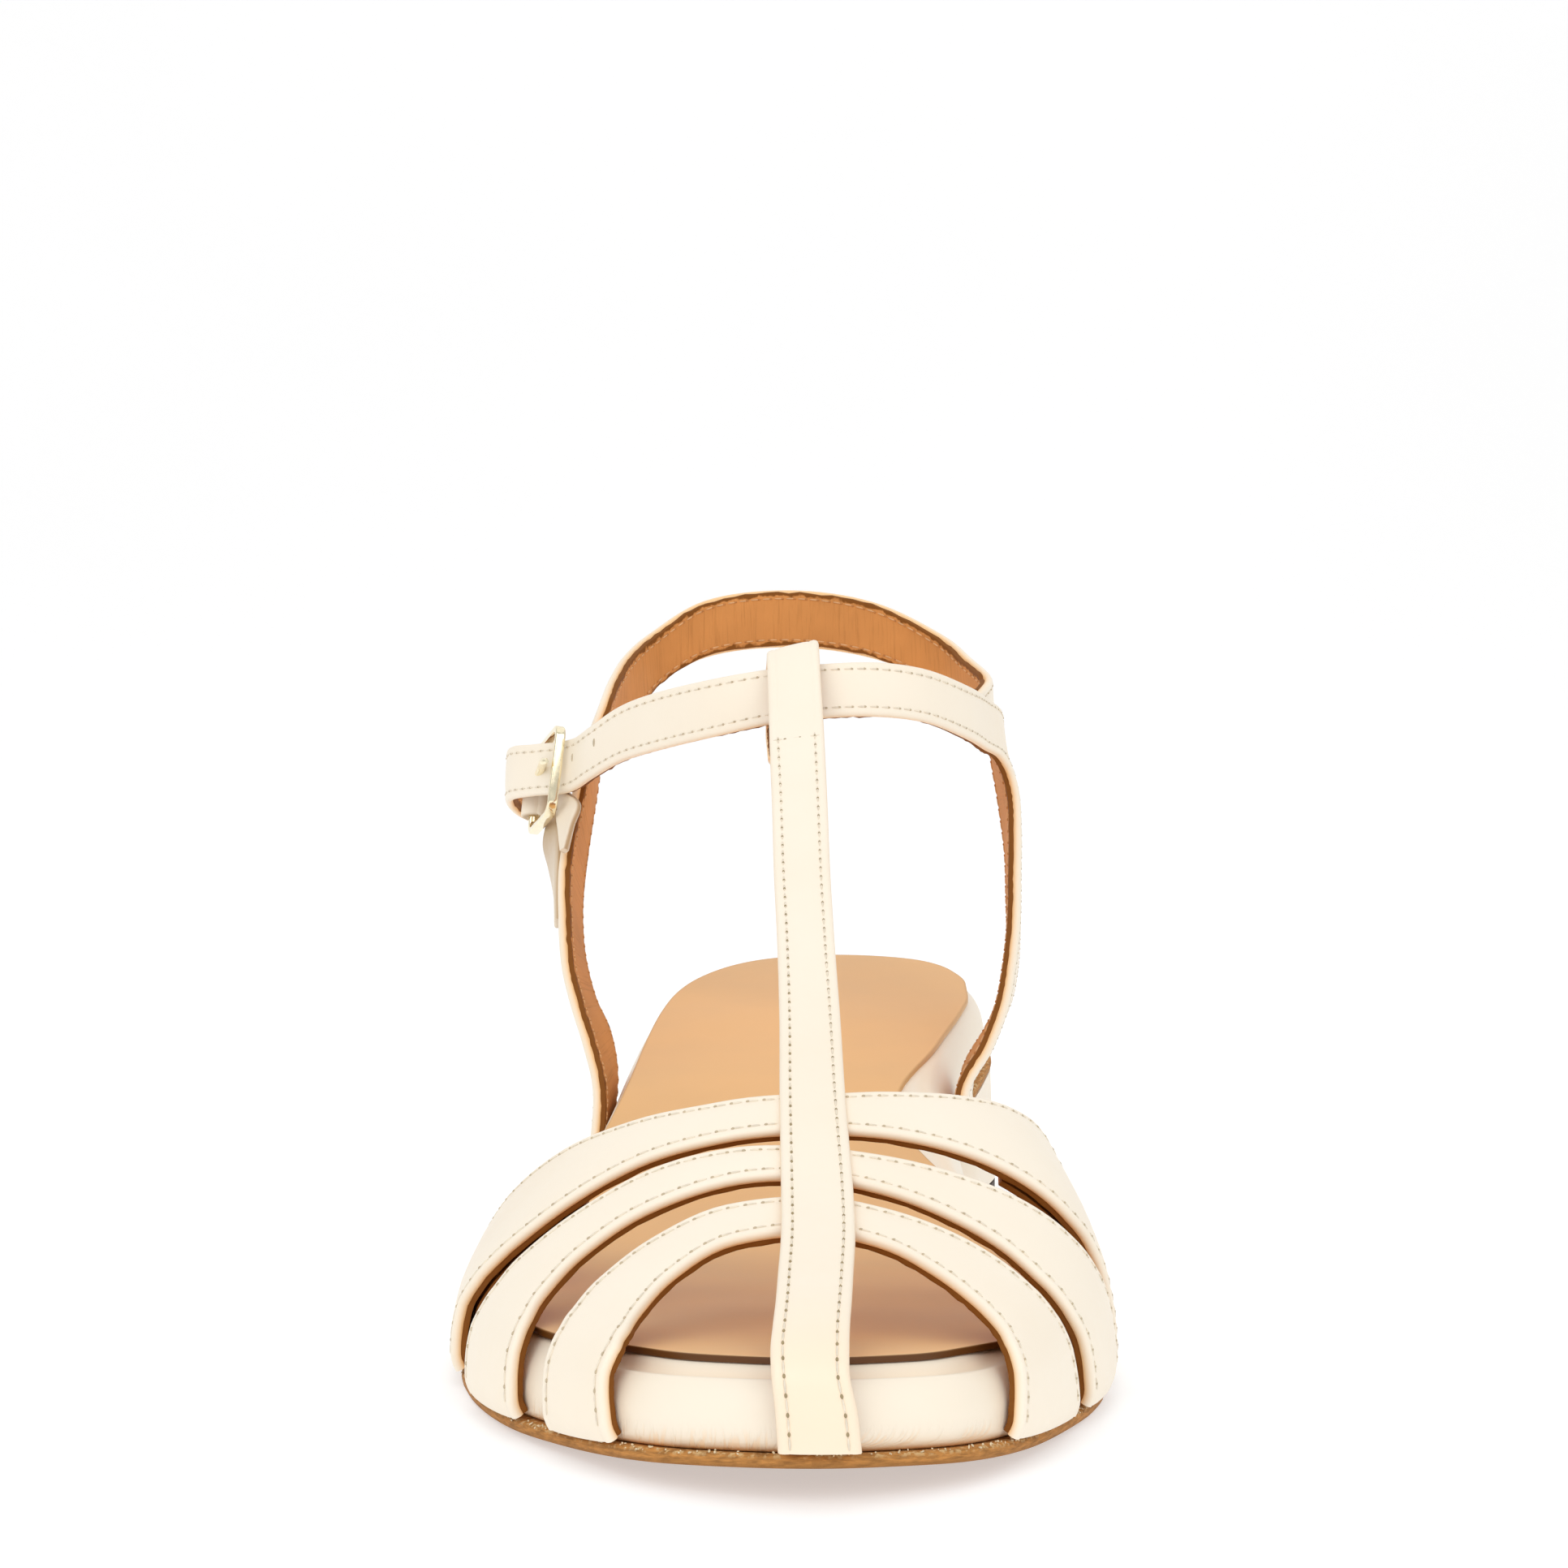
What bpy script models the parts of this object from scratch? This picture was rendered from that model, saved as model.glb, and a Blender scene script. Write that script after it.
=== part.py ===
"""Caged sandal for a right foot: T-bar, three cross straps, ankle strap, sling back and block heel.

Every length in the tables is in millimetres on the last. y runs from the toe to the heel, x from the
outer (lateral) side at minus to the inner (medial) side at plus, and z up from the floor.
"""
import math
from collections import namedtuple

import bmesh
import bpy
from mathutils import Vector

MM = 0.001

# Driving sizes
FIT_GAP = 0.3
OUTSOLE_THICK = 1.6
OUTSOLE_LEDGE = 1.0
FOOTBED_THICK = 9.1
SOCK_THICK = 0.8
STRAP_WALL = 2.2
TAB_WALL = 1.2
EDGE_ROLL = 0.8
EDGE_ROLL_LIMIT = 0.4
HEEL_LIFT_THICK = 4.0
HEEL_BREAST_Y = 181.0
HEEL_CORNER_RADIUS = 6.0
HEEL_FLARE_X = 1.06
HEEL_FLARE_Y = 0.97
HEEL_CENTRE = (2.0, 208.0)
HEEL_MIDDLE = 0.5
SHARP_ANGLE = 50.0
WELD_DISTANCE = 0.00001
SIDE_STATIONS = 30
ROWS_PER_SPAN = 3

# Where the straps lie on the forefoot
CREST_X = -0.9
SEAT_GAP = 0.45
SIDE_RISE = 8.8
PAD_RISE = 2.5
PAD_RUN = 4.0
PAD_BLEND = 4
SHOULDER_SPREAD = 1.0
SHOULDER_WEIGHTS = ((-1.0, 1), (-0.5, 2), (0.0, 3), (0.5, 2), (1.0, 1))
LATERAL_EDGE_STEP = 1
MEDIAL_EDGE_STEP = 7
MEDIAL_SOLE_STEP = 8
STEPS_PER_COLUMN = 4
STRAP_SHARES = (0.0, 0.25, 0.5, 0.75, 1.0)

# Sock lining: set back from the rim, with a straight front and a narrow medial waist
SOCK_RIM = 3.0
SOCK_FRONT_Y = 12.0
SOCK_FRONT_CURVE = 0.006
SOCK_WAIST_TRIM = 6.5
SOCK_WAIST_Y = 143.0
SOCK_WAIST_SPREAD = 22.0

# Buckle: a wire frame on the lateral side, its front bar over the strap and its hinge bar under it
WIRE_RADIUS = 0.8
PRONG_RADIUS = 0.7
SLOT_LEAD = 1.2
FRAME_HALF_HEIGHT = 7.3
FRAME_CORNER = 2.2
FRAME_CORNER_STEPS = 4
FRONT_BAR = Vector((-42.9, 188.0, 76.0))
HINGE_BAR = Vector((-47.2, 201.8, 71.6))
BAR_DIRECTION = Vector((0.11, 0.16, 0.98)).normalized()
TAB_ROLL_RADIUS = 2.3
TAB_HALF_WIDTH = 4.6
TAB_ROLL_START = -10.0
TAB_ROLL_END = 270.0
TAB_ROLL_STEPS = 11

CREAM = (0.93, 0.84, 0.70)
TAN = (0.70, 0.44, 0.24)
BROWN = (0.36, 0.21, 0.11)
DARK = (0.16, 0.12, 0.12)
PALE_GOLD = (0.90, 0.74, 0.42)

OutlineRow = namedtuple("OutlineRow", "y lateral medial")
FOOTBED_OUTLINE = [
    OutlineRow(2.3, -1.4, -1.4),
    OutlineRow(4.8, -10.6, 7.0),
    OutlineRow(10.5, -19.7, 16.0),
    OutlineRow(23.0, -29.3, 24.2),
    OutlineRow(34.5, -36.6, 29.3),
    OutlineRow(45.0, -41.0, 33.2),
    OutlineRow(55.0, -43.9, 35.6),
    OutlineRow(66.0, -45.9, 36.6),
    OutlineRow(80.0, -46.4, 35.4),
    OutlineRow(95.0, -44.9, 32.2),
    OutlineRow(115.0, -40.3, 26.8),
    OutlineRow(135.0, -35.6, 23.2),
    OutlineRow(155.0, -32.4, 22.2),
    OutlineRow(175.0, -30.6, 24.6),
    OutlineRow(195.0, -28.4, 29.0),
    OutlineRow(205.0, -26.8, 30.6),
    OutlineRow(213.0, -24.4, 30.6),
    OutlineRow(222.0, -19.4, 28.2),
    OutlineRow(229.0, -12.0, 22.6),
    OutlineRow(233.5, 5.0, 5.0),
]

# Height of the outsole's underside: toe spring, flat tread, waist and heel seat
ProfileRow = namedtuple("ProfileRow", "y z")
UNDERSIDE = [
    ProfileRow(-2.0, 4.9),
    ProfileRow(10.0, 3.0),
    ProfileRow(25.0, 1.3),
    ProfileRow(45.0, 0.25),
    ProfileRow(58.0, 0.0),
    ProfileRow(92.0, 0.0),
    ProfileRow(105.0, 1.6),
    ProfileRow(120.0, 5.2),
    ProfileRow(135.0, 9.6),
    ProfileRow(155.0, 15.0),
    ProfileRow(175.0, 18.9),
    ProfileRow(190.0, 21.6),
    ProfileRow(205.0, 23.9),
    ProfileRow(220.0, 26.6),
    ProfileRow(236.0, 29.7),
]

# Crest of the forefoot and how full its two sides are (small power: full, large power: sloping)
CrestRow = namedtuple("CrestRow", "y z lateral_power medial_power")
FOREFOOT = [
    CrestRow(2.0, 10.5, 2.0, 1.60),
    CrestRow(9.0, 15.4, 2.0, 1.60),
    CrestRow(16.0, 18.2, 2.0, 1.50),
    CrestRow(27.0, 21.4, 2.0, 1.32),
    CrestRow(39.0, 25.0, 1.95, 1.12),
    CrestRow(55.0, 31.9, 1.9, 0.92),
    CrestRow(66.0, 37.0, 1.85, 0.90),
    CrestRow(80.0, 43.6, 1.8, 0.90),
    CrestRow(95.0, 51.6, 1.8, 0.90),
]

# Edges of the cross straps: y of the back and front edge at steps from the lateral to the medial sole
EdgeRow = namedtuple("EdgeRow", "step back front")
CROSS_STRAPS = {
    "rear": [
        EdgeRow(0.0, 88.0, 61.0),
        EdgeRow(1.0, 89.0, 62.8),
        EdgeRow(1.5, 87.5, 61.4),
        EdgeRow(2.0, 83.0, 60.4),
        EdgeRow(2.5, 77.0, 60.0),
        EdgeRow(3.0, 70.2, 59.2),
        EdgeRow(3.5, 65.6, 57.4),
        EdgeRow(4.0, 64.4, 56.6),
        EdgeRow(4.5, 66.4, 57.0),
        EdgeRow(5.0, 70.4, 57.4),
        EdgeRow(5.5, 76.4, 57.8),
        EdgeRow(6.0, 82.0, 58.6),
        EdgeRow(6.5, 82.0, 61.0),
        EdgeRow(7.0, 80.5, 62.0),
        EdgeRow(8.0, 79.0, 61.0),
    ],
    "middle": [
        EdgeRow(0.0, 49.5, 32.0),
        EdgeRow(1.0, 50.8, 33.4),
        EdgeRow(1.5, 51.6, 35.2),
        EdgeRow(2.0, 54.2, 39.6),
        EdgeRow(2.5, 55.7, 44.6),
        EdgeRow(3.0, 56.2, 47.3),
        EdgeRow(3.5, 55.0, 47.8),
        EdgeRow(4.0, 53.2, 46.8),
        EdgeRow(4.5, 52.3, 45.0),
        EdgeRow(5.0, 52.0, 42.6),
        EdgeRow(5.5, 52.4, 40.4),
        EdgeRow(6.0, 53.2, 38.4),
        EdgeRow(6.5, 55.0, 38.0),
        EdgeRow(7.0, 57.0, 38.8),
        EdgeRow(8.0, 57.6, 39.6),
    ],
    "front": [
        EdgeRow(0.0, 25.6, 13.8),
        EdgeRow(1.0, 26.6, 15.2),
        EdgeRow(1.5, 27.6, 15.6),
        EdgeRow(2.0, 30.4, 18.0),
        EdgeRow(2.5, 35.4, 23.0),
        EdgeRow(3.0, 40.2, 29.2),
        EdgeRow(3.5, 42.9, 34.0),
        EdgeRow(4.0, 42.8, 34.6),
        EdgeRow(4.5, 41.2, 32.6),
        EdgeRow(5.0, 39.2, 28.4),
        EdgeRow(5.5, 37.0, 24.4),
        EdgeRow(6.0, 35.0, 21.2),
        EdgeRow(6.5, 34.0, 18.9),
        EdgeRow(7.0, 33.9, 18.0),
        EdgeRow(8.0, 34.8, 16.6),
    ],
}

# T-bar face: toe, instep, and the loop that folds over the ankle strap and back under the bar
BarRow = namedtuple("BarRow", "y z x width tilt")
T_BAR = [
    BarRow(-0.3, 6.4, -0.5, 9.4, 0.0),
    BarRow(-0.4, 11.0, -0.9, 9.2, 0.0),
    BarRow(0.4, 15.0, -1.5, 8.8, 0.0),
    BarRow(3.0, 17.9, -1.6, 8.9, 0.0),
    BarRow(7.4, 19.9, -1.4, 8.8, 0.0),
    BarRow(12.6, 21.5, -1.1, 8.8, 0.0),
    BarRow(20.0, 23.3, -0.8, 8.9, 0.0),
    BarRow(30.0, 26.0, -0.4, 9.0, 0.0),
    BarRow(42.0, 29.8, -0.4, 9.0, 0.0),
    BarRow(62.0, 38.5, -0.8, 8.6, 0.0),
    BarRow(80.0, 46.7, -1.0, 8.3, 0.0),
    BarRow(96.0, 55.2, -1.4, 8.1, 0.0),
    BarRow(112.0, 64.6, -1.9, 8.2, 0.2),
    BarRow(126.0, 73.8, -2.2, 8.3, 0.5),
    BarRow(138.0, 82.6, -2.6, 8.4, 1.0),
    BarRow(146.0, 89.2, -2.9, 8.3, 1.5),
    BarRow(152.6, 94.9, -3.2, 8.2, 2.0),
    BarRow(156.4, 96.8, -3.3, 8.2, 2.0),
    BarRow(159.4, 95.2, -3.3, 8.2, 2.0),
    BarRow(159.6, 91.0, -3.3, 8.2, 1.8),
    BarRow(157.2, 86.4, -3.2, 8.2, 1.4),
    BarRow(154.4, 82.4, -3.2, 8.2, 1.0),
    BarRow(150.6, 80.8, -3.1, 8.2, 0.8),
    BarRow(146.0, 80.2, -3.0, 8.2, 0.8),
    BarRow(141.0, 78.6, -2.8, 8.2, 0.8),
]

# Outer faces of the ankle bands, by their two edges: (ax, ay, az) front or lower, (bx, by, bz) back or upper
BandRow = namedtuple("BandRow", "ax ay az bx by bz")
ANKLE_STRAP = [
    BandRow(24.9, 150.5, 16.1, 26.1, 166.0, 19.5),
    BandRow(25.0, 155.0, 25.5, 26.9, 170.0, 27.2),
    BandRow(29.0, 160.0, 31.8, 30.6, 174.0, 33.0),
    BandRow(31.9, 165.0, 38.4, 33.2, 177.5, 37.5),
    BandRow(33.4, 170.0, 44.4, 34.5, 182.0, 41.5),
    BandRow(34.6, 176.5, 51.2, 35.4, 188.0, 46.5),
    BandRow(35.2, 182.5, 59.0, 35.6, 194.2, 53.0),
    BandRow(35.6, 187.2, 66.0, 35.7, 200.5, 61.0),
    BandRow(35.5, 189.6, 71.6, 34.6, 204.4, 70.5),
    BandRow(34.4, 188.6, 75.6, 33.1, 202.6, 79.2),
    BandRow(32.4, 184.0, 78.4, 33.0, 196.4, 85.4),
    BandRow(29.6, 177.5, 79.9, 30.2, 187.5, 87.9),
    BandRow(26.0, 169.5, 81.7, 26.0, 172.8, 90.3),
    BandRow(18.3, 159.4, 84.7, 18.2, 162.2, 93.2),
    BandRow(10.2, 153.3, 85.8, 10.2, 157.2, 94.3),
    BandRow(1.8, 150.3, 85.7, 1.8, 155.0, 94.1),
    BandRow(-7.2, 150.9, 84.6, -7.2, 155.3, 93.2),
    BandRow(-15.6, 155.2, 82.6, -15.6, 158.6, 91.7),
    BandRow(-26.3, 166.0, 79.7, -26.2, 168.4, 89.1),
    BandRow(-32.0, 173.6, 77.7, -31.9, 175.2, 86.9),
    BandRow(-37.4, 181.5, 74.6, -37.2, 182.6, 83.4),
    BandRow(-41.6, 188.2, 72.1, -41.0, 189.6, 81.1),
    BandRow(-48.0, 194.5, 71.2, -47.6, 195.5, 80.1),
    BandRow(-52.2, 200.3, 70.3, -51.9, 201.1, 79.5),
    BandRow(-53.0, 206.0, 69.0, -52.8, 206.4, 78.0),
    BandRow(-51.9, 211.5, 67.0, -51.8, 211.6, 75.2),
    BandRow(-49.9, 216.0, 65.6, -49.8, 216.0, 72.6),
]
SLING_STRAP = [
    BandRow(27.4, 190.0, 86.2, 29.4, 196.5, 80.4),
    BandRow(29.6, 197.0, 88.6, 30.2, 203.5, 81.6),
    BandRow(31.8, 206.0, 91.4, 32.6, 213.0, 82.4),
    BandRow(28.9, 218.0, 95.0, 30.0, 222.5, 84.6),
    BandRow(24.6, 228.2, 99.0, 25.2, 230.6, 89.2),
    BandRow(12.2, 236.3, 105.0, 12.4, 237.2, 94.6),
    BandRow(-3.6, 238.2, 107.2, -3.6, 238.8, 96.7),
    BandRow(-19.4, 236.4, 105.2, -19.2, 237.0, 94.8),
    BandRow(-29.0, 229.3, 99.4, -28.6, 231.4, 89.6),
    BandRow(-33.2, 219.0, 95.3, -32.6, 223.2, 85.0),
    BandRow(-35.2, 208.5, 91.2, -36.4, 215.5, 80.0),
    BandRow(-36.3, 200.0, 87.2, -38.7, 210.0, 75.5),
    BandRow(-38.8, 196.6, 80.0, -39.4, 205.6, 69.0),
    BandRow(-41.1, 193.8, 70.5, -40.1, 200.6, 61.5),
    BandRow(-42.5, 184.6, 60.4, -40.7, 194.4, 53.2),
    BandRow(-42.0, 176.6, 51.0, -40.2, 188.0, 46.0),
    BandRow(-41.0, 170.0, 44.0, -38.8, 182.0, 41.0),
    BandRow(-39.3, 165.6, 38.4, -37.2, 178.0, 37.0),
    BandRow(-36.9, 160.8, 32.0, -34.9, 174.2, 33.0),
    BandRow(-35.1, 156.0, 25.6, -33.7, 170.4, 27.3),
    BandRow(-35.4, 151.0, 16.2, -34.1, 166.0, 19.6),
]
TAB_TONGUE = [
    BandRow(-41.2, 183.4, 62.0, -40.4, 182.8, 62.6),
    BandRow(-42.0, 187.4, 65.4, -39.4, 185.0, 66.6),
    BandRow(-42.6, 190.2, 67.6, -38.4, 186.8, 69.8),
    BandRow(-42.5, 195.4, 67.2, -41.7, 194.0, 73.0),
    BandRow(-44.0, 199.8, 67.2, -42.8, 198.2, 76.2),
]
TAB_OUTER = [
    BandRow(-45.3, 197.2, 66.8, -44.6, 195.0, 70.2),
    BandRow(-46.2, 196.6, 62.6, -43.9, 191.6, 66.4),
    BandRow(-45.0, 193.6, 58.8, -43.6, 188.4, 62.4),
    BandRow(-43.8, 189.2, 54.2, -43.8, 185.6, 57.0),
]

# Prong: from beside the hinge bar, up through the strap and out over the front bar
ProngRow = namedtuple("ProngRow", "x y z")
PRONG = [
    ProngRow(-48.9, 201.2, 72.1),
    ProngRow(-47.6, 198.0, 73.4),
    ProngRow(-46.3, 194.2, 75.0),
    ProngRow(-45.5, 190.8, 76.5),
    ProngRow(-44.9, 187.6, 77.3),
    ProngRow(-44.3, 185.9, 77.4),
]


def smooth(xs, ys):
    """Monotone cubic through a table's column."""
    spans = [b - a for a, b in zip(xs, xs[1:])]
    slopes = [(b - a) / h for a, b, h in zip(ys, ys[1:], spans)]
    tangents = [slopes[0]]
    for left, right in zip(slopes, slopes[1:]):
        tangents.append(0.0 if left * right <= 0.0 else 2.0 * left * right / (left + right))
    tangents.append(slopes[-1])

    def value(x):
        x = min(max(x, xs[0]), xs[-1])
        i = max(k for k in range(len(spans)) if xs[k] <= x)
        t = (x - xs[i]) / spans[i]
        rise = (1 + 2 * t) * (1 - t) ** 2 * ys[i] + t * t * (3 - 2 * t) * ys[i + 1]
        bend = t * (1 - t) ** 2 * tangents[i] - t * t * (1 - t) * tangents[i + 1]
        return rise + bend * spans[i]

    return value


def rows_through(rows, per_span):
    """Centripetal spline through a table's rows, with every column carried along."""
    rows = [list(row) for row in rows]
    steps = [math.sqrt(math.dist(a, b)) for a, b in zip(rows, rows[1:])]
    chords = [[(q - p) / h for p, q in zip(a, b)] for a, b, h in zip(rows, rows[1:], steps)]
    tangents = [chords[0]]
    for i in range(1, len(chords)):
        total = steps[i - 1] + steps[i]
        pairs = zip(chords[i - 1], chords[i])
        tangents.append([(p * steps[i] + q * steps[i - 1]) / total for p, q in pairs])
    tangents.append(chords[-1])
    found = []
    for i, h in enumerate(steps):
        for k in range(per_span):
            t = k / per_span
            near = (1 + 2 * t) * (1 - t) ** 2
            far = t * t * (3 - 2 * t)
            leave = t * (1 - t) ** 2 * h
            arrive = -t * t * (1 - t) * h
            columns = zip(rows[i], rows[i + 1], tangents[i], tangents[i + 1])
            found.append([near * a + far * b + leave * m + arrive * n for a, b, m, n in columns])
    found.append(rows[-1])
    return found


TOE_Y = FOOTBED_OUTLINE[0].y
FOOTBED_LENGTH = FOOTBED_OUTLINE[-1].y - TOE_Y


def angle_at(y):
    """Angle that turns the length into a half circle, so that toe and heel come out round."""
    share = min(max((y - TOE_Y) / FOOTBED_LENGTH, 0.0), 1.0)
    return math.acos(1.0 - 2.0 * share)


OUTLINE_ANGLES = [angle_at(row.y) for row in FOOTBED_OUTLINE]
lateral_at_angle = smooth(OUTLINE_ANGLES, [row.lateral for row in FOOTBED_OUTLINE])
medial_at_angle = smooth(OUTLINE_ANGLES, [row.medial for row in FOOTBED_OUTLINE])
underside_at = smooth([row.y for row in UNDERSIDE], [row.z for row in UNDERSIDE])
CREST_YS = [row.y for row in FOREFOOT]
crest_at = smooth(CREST_YS, [row.z for row in FOREFOOT])
lateral_power_at = smooth(CREST_YS, [row.lateral_power for row in FOREFOOT])
medial_power_at = smooth(CREST_YS, [row.medial_power for row in FOREFOOT])


def new_part(name, vertices, faces, material, collection, root):
    """Closed mesh object in metres, smooth shaded and parented to the root."""
    mesh = bpy.data.meshes.new(name)
    mesh.from_pydata([Vector(v) * MM for v in vertices], [], faces)
    build = bmesh.new()
    build.from_mesh(mesh)
    bmesh.ops.recalc_face_normals(build, faces=build.faces)
    build.to_mesh(mesh)
    build.free()
    mesh.shade_smooth()
    mesh.set_sharp_from_angle(angle=math.radians(SHARP_ANGLE))
    mesh.materials.append(material)
    part = bpy.data.objects.new(name, mesh)
    collection.objects.link(part)
    part.parent = root
    return part


def finish(name, colour, roughness, metallic=0.0):
    material = bpy.data.materials.new(name)
    material.use_nodes = True
    shader = material.node_tree.nodes["Principled BSDF"]
    shader.inputs["Base Color"].default_value = (*colour, 1.0)
    shader.inputs["Roughness"].default_value = roughness
    shader.inputs["Metallic"].default_value = metallic
    return material


def footbed_plan(inset):
    """Plan points of the footbed set in by a distance: toe, lateral side, heel, medial side."""
    angles = [math.pi * i / SIDE_STATIONS for i in range(SIDE_STATIONS + 1)]
    plan = []
    for angle in angles:
        y = TOE_Y + FOOTBED_LENGTH * (1.0 - math.cos(angle)) / 2.0
        plan.append((lateral_at_angle(angle), y))
    for angle in reversed(angles[1:-1]):
        y = TOE_Y + FOOTBED_LENGTH * (1.0 - math.cos(angle)) / 2.0
        plan.append((medial_at_angle(angle), y))
    moved = []
    for i, (x, y) in enumerate(plan):
        before = plan[i - 1]
        after = plan[(i + 1) % len(plan)]
        along_x = after[0] - before[0]
        along_y = after[1] - before[1]
        reach = inset / math.hypot(along_x, along_y)
        moved.append((x + along_y * reach, y - along_x * reach))
    return moved


def stacked_rings(rings):
    """Vertices and faces of a stack of equal rings, each closed across from side to side."""
    count = len(rings[0])
    vertices = [point for ring in rings for point in ring]
    faces = []
    for level in range(len(rings) - 1):
        low = level * count
        high = low + count
        for i in range(count):
            j = (i + 1) % count
            faces.append((low + i, low + j, high + j, high + i))
    for start in (0, (len(rings) - 1) * count):
        half = count // 2
        faces.append((start, start + 1, start + count - 1))
        for i in range(1, half - 1):
            faces.append((start + i, start + i + 1, start + count - i - 1, start + count - i))
        faces.append((start + half - 1, start + half, start + half + 1))
    return vertices, faces


RingRow = namedtuple("RingRow", "inset height")


def sole_layer(rows):
    """A layer that follows the underside: one ring for each row of inset and height."""
    rings = []
    for row in rows:
        plan = footbed_plan(row.inset)
        rings.append([(x, y, underside_at(y) + row.height) for x, y in plan])
    return stacked_rings(rings)


def outsole_shape():
    out = -OUTSOLE_LEDGE
    chamfer = 0.4
    return sole_layer([
        RingRow(out + chamfer, 0.0),
        RingRow(out, chamfer),
        RingRow(out, OUTSOLE_THICK - chamfer),
        RingRow(out + chamfer, OUTSOLE_THICK),
    ])


FOOTBED_BOTTOM = OUTSOLE_THICK + FIT_GAP
FOOTBED_TOP = FOOTBED_BOTTOM + FOOTBED_THICK


def footbed_shape():
    return sole_layer([
        RingRow(1.6, FOOTBED_BOTTOM),
        RingRow(0.4, FOOTBED_BOTTOM + 0.9),
        RingRow(0.0, FOOTBED_BOTTOM + 2.4),
        RingRow(0.15, FOOTBED_BOTTOM + 4.0),
        RingRow(0.8, FOOTBED_TOP - 3.4),
        RingRow(2.0, FOOTBED_TOP - 1.6),
        RingRow(3.6, FOOTBED_TOP - 0.5),
        RingRow(5.8, FOOTBED_TOP),
    ])


def sock_shape():
    bottom = FOOTBED_TOP + FIT_GAP
    rings = []
    for height in (bottom, bottom + SOCK_THICK):
        ring = []
        for x, y in footbed_plan(SOCK_RIM):
            if x > CREST_X:
                bend = (y - SOCK_WAIST_Y) / SOCK_WAIST_SPREAD
                x -= SOCK_WAIST_TRIM * math.exp(-bend * bend)
            front = SOCK_FRONT_Y + SOCK_FRONT_CURVE * (x - CREST_X) ** 2
            y = max(y, front)
            ring.append((x, y, underside_at(y) + height))
        rings.append(ring)
    return stacked_rings(rings)


def heel_plan():
    """Heel outline in plan: rounded breast corners, then the heel seat's curve."""
    corner = HEEL_CORNER_RADIUS
    back_y = FOOTBED_OUTLINE[-1].y
    ys = [HEEL_BREAST_Y + corner * (1.0 - math.cos(math.radians(a))) for a in (0, 30, 60, 90)]
    run = back_y - ys[-1]
    ys += [ys[-1] + run * math.sin(math.radians(a)) for a in (12, 24, 36, 48, 60, 70, 80)]
    lateral = []
    medial = []
    for y in ys:
        ahead = max(corner - (y - HEEL_BREAST_Y), 0.0)
        rounding = corner - math.sqrt(corner * corner - ahead * ahead)
        lateral.append((lateral_at_angle(angle_at(y)) + rounding, y))
        medial.append((medial_at_angle(angle_at(y)) - rounding, y))
    back = [(FOOTBED_OUTLINE[-1].lateral, back_y)]
    return lateral + back + list(reversed(medial))


def heel_ring(flare_x, flare_y, height_at):
    ring = []
    for x, y in heel_plan():
        wide_x = HEEL_CENTRE[0] + (x - HEEL_CENTRE[0]) * flare_x
        wide_y = HEEL_CENTRE[1] + (y - HEEL_CENTRE[1]) * flare_y
        ring.append((wide_x, wide_y, height_at(wide_y)))
    return ring


def open_stack(rings):
    """Stack of rings whose first and last points face each other across the breast."""
    count = len(rings[0])
    vertices = [point for ring in rings for point in ring]
    faces = []
    for level in range(len(rings) - 1):
        low = level * count
        high = low + count
        for i in range(count):
            j = (i + 1) % count
            faces.append((low + i, low + j, high + j, high + i))
    for start in (0, (len(rings) - 1) * count):
        half = count // 2
        for i in range(half - 1):
            faces.append((start + i, start + i + 1, start + count - i - 2, start + count - i - 1))
        faces.append((start + half - 1, start + half, start + half + 1))
    return vertices, faces


def heel_block_shape():
    foot = HEEL_LIFT_THICK + FIT_GAP
    seat_x = 1.03
    seat_y = 1.02
    middle_x = 1.035
    middle_y = 0.985
    return open_stack([
        heel_ring(HEEL_FLARE_X, HEEL_FLARE_Y, lambda y: foot),
        heel_ring(middle_x, middle_y, lambda y: foot + (underside_at(y) - foot) * HEEL_MIDDLE),
        heel_ring(seat_x, seat_y, lambda y: underside_at(y) - FIT_GAP),
    ])


def heel_lift_shape():
    trim = 0.005
    return open_stack([
        heel_ring(HEEL_FLARE_X - trim, HEEL_FLARE_Y - trim, lambda y: 0.0),
        heel_ring(HEEL_FLARE_X, HEEL_FLARE_Y, lambda y: HEEL_LIFT_THICK),
    ])


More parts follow.
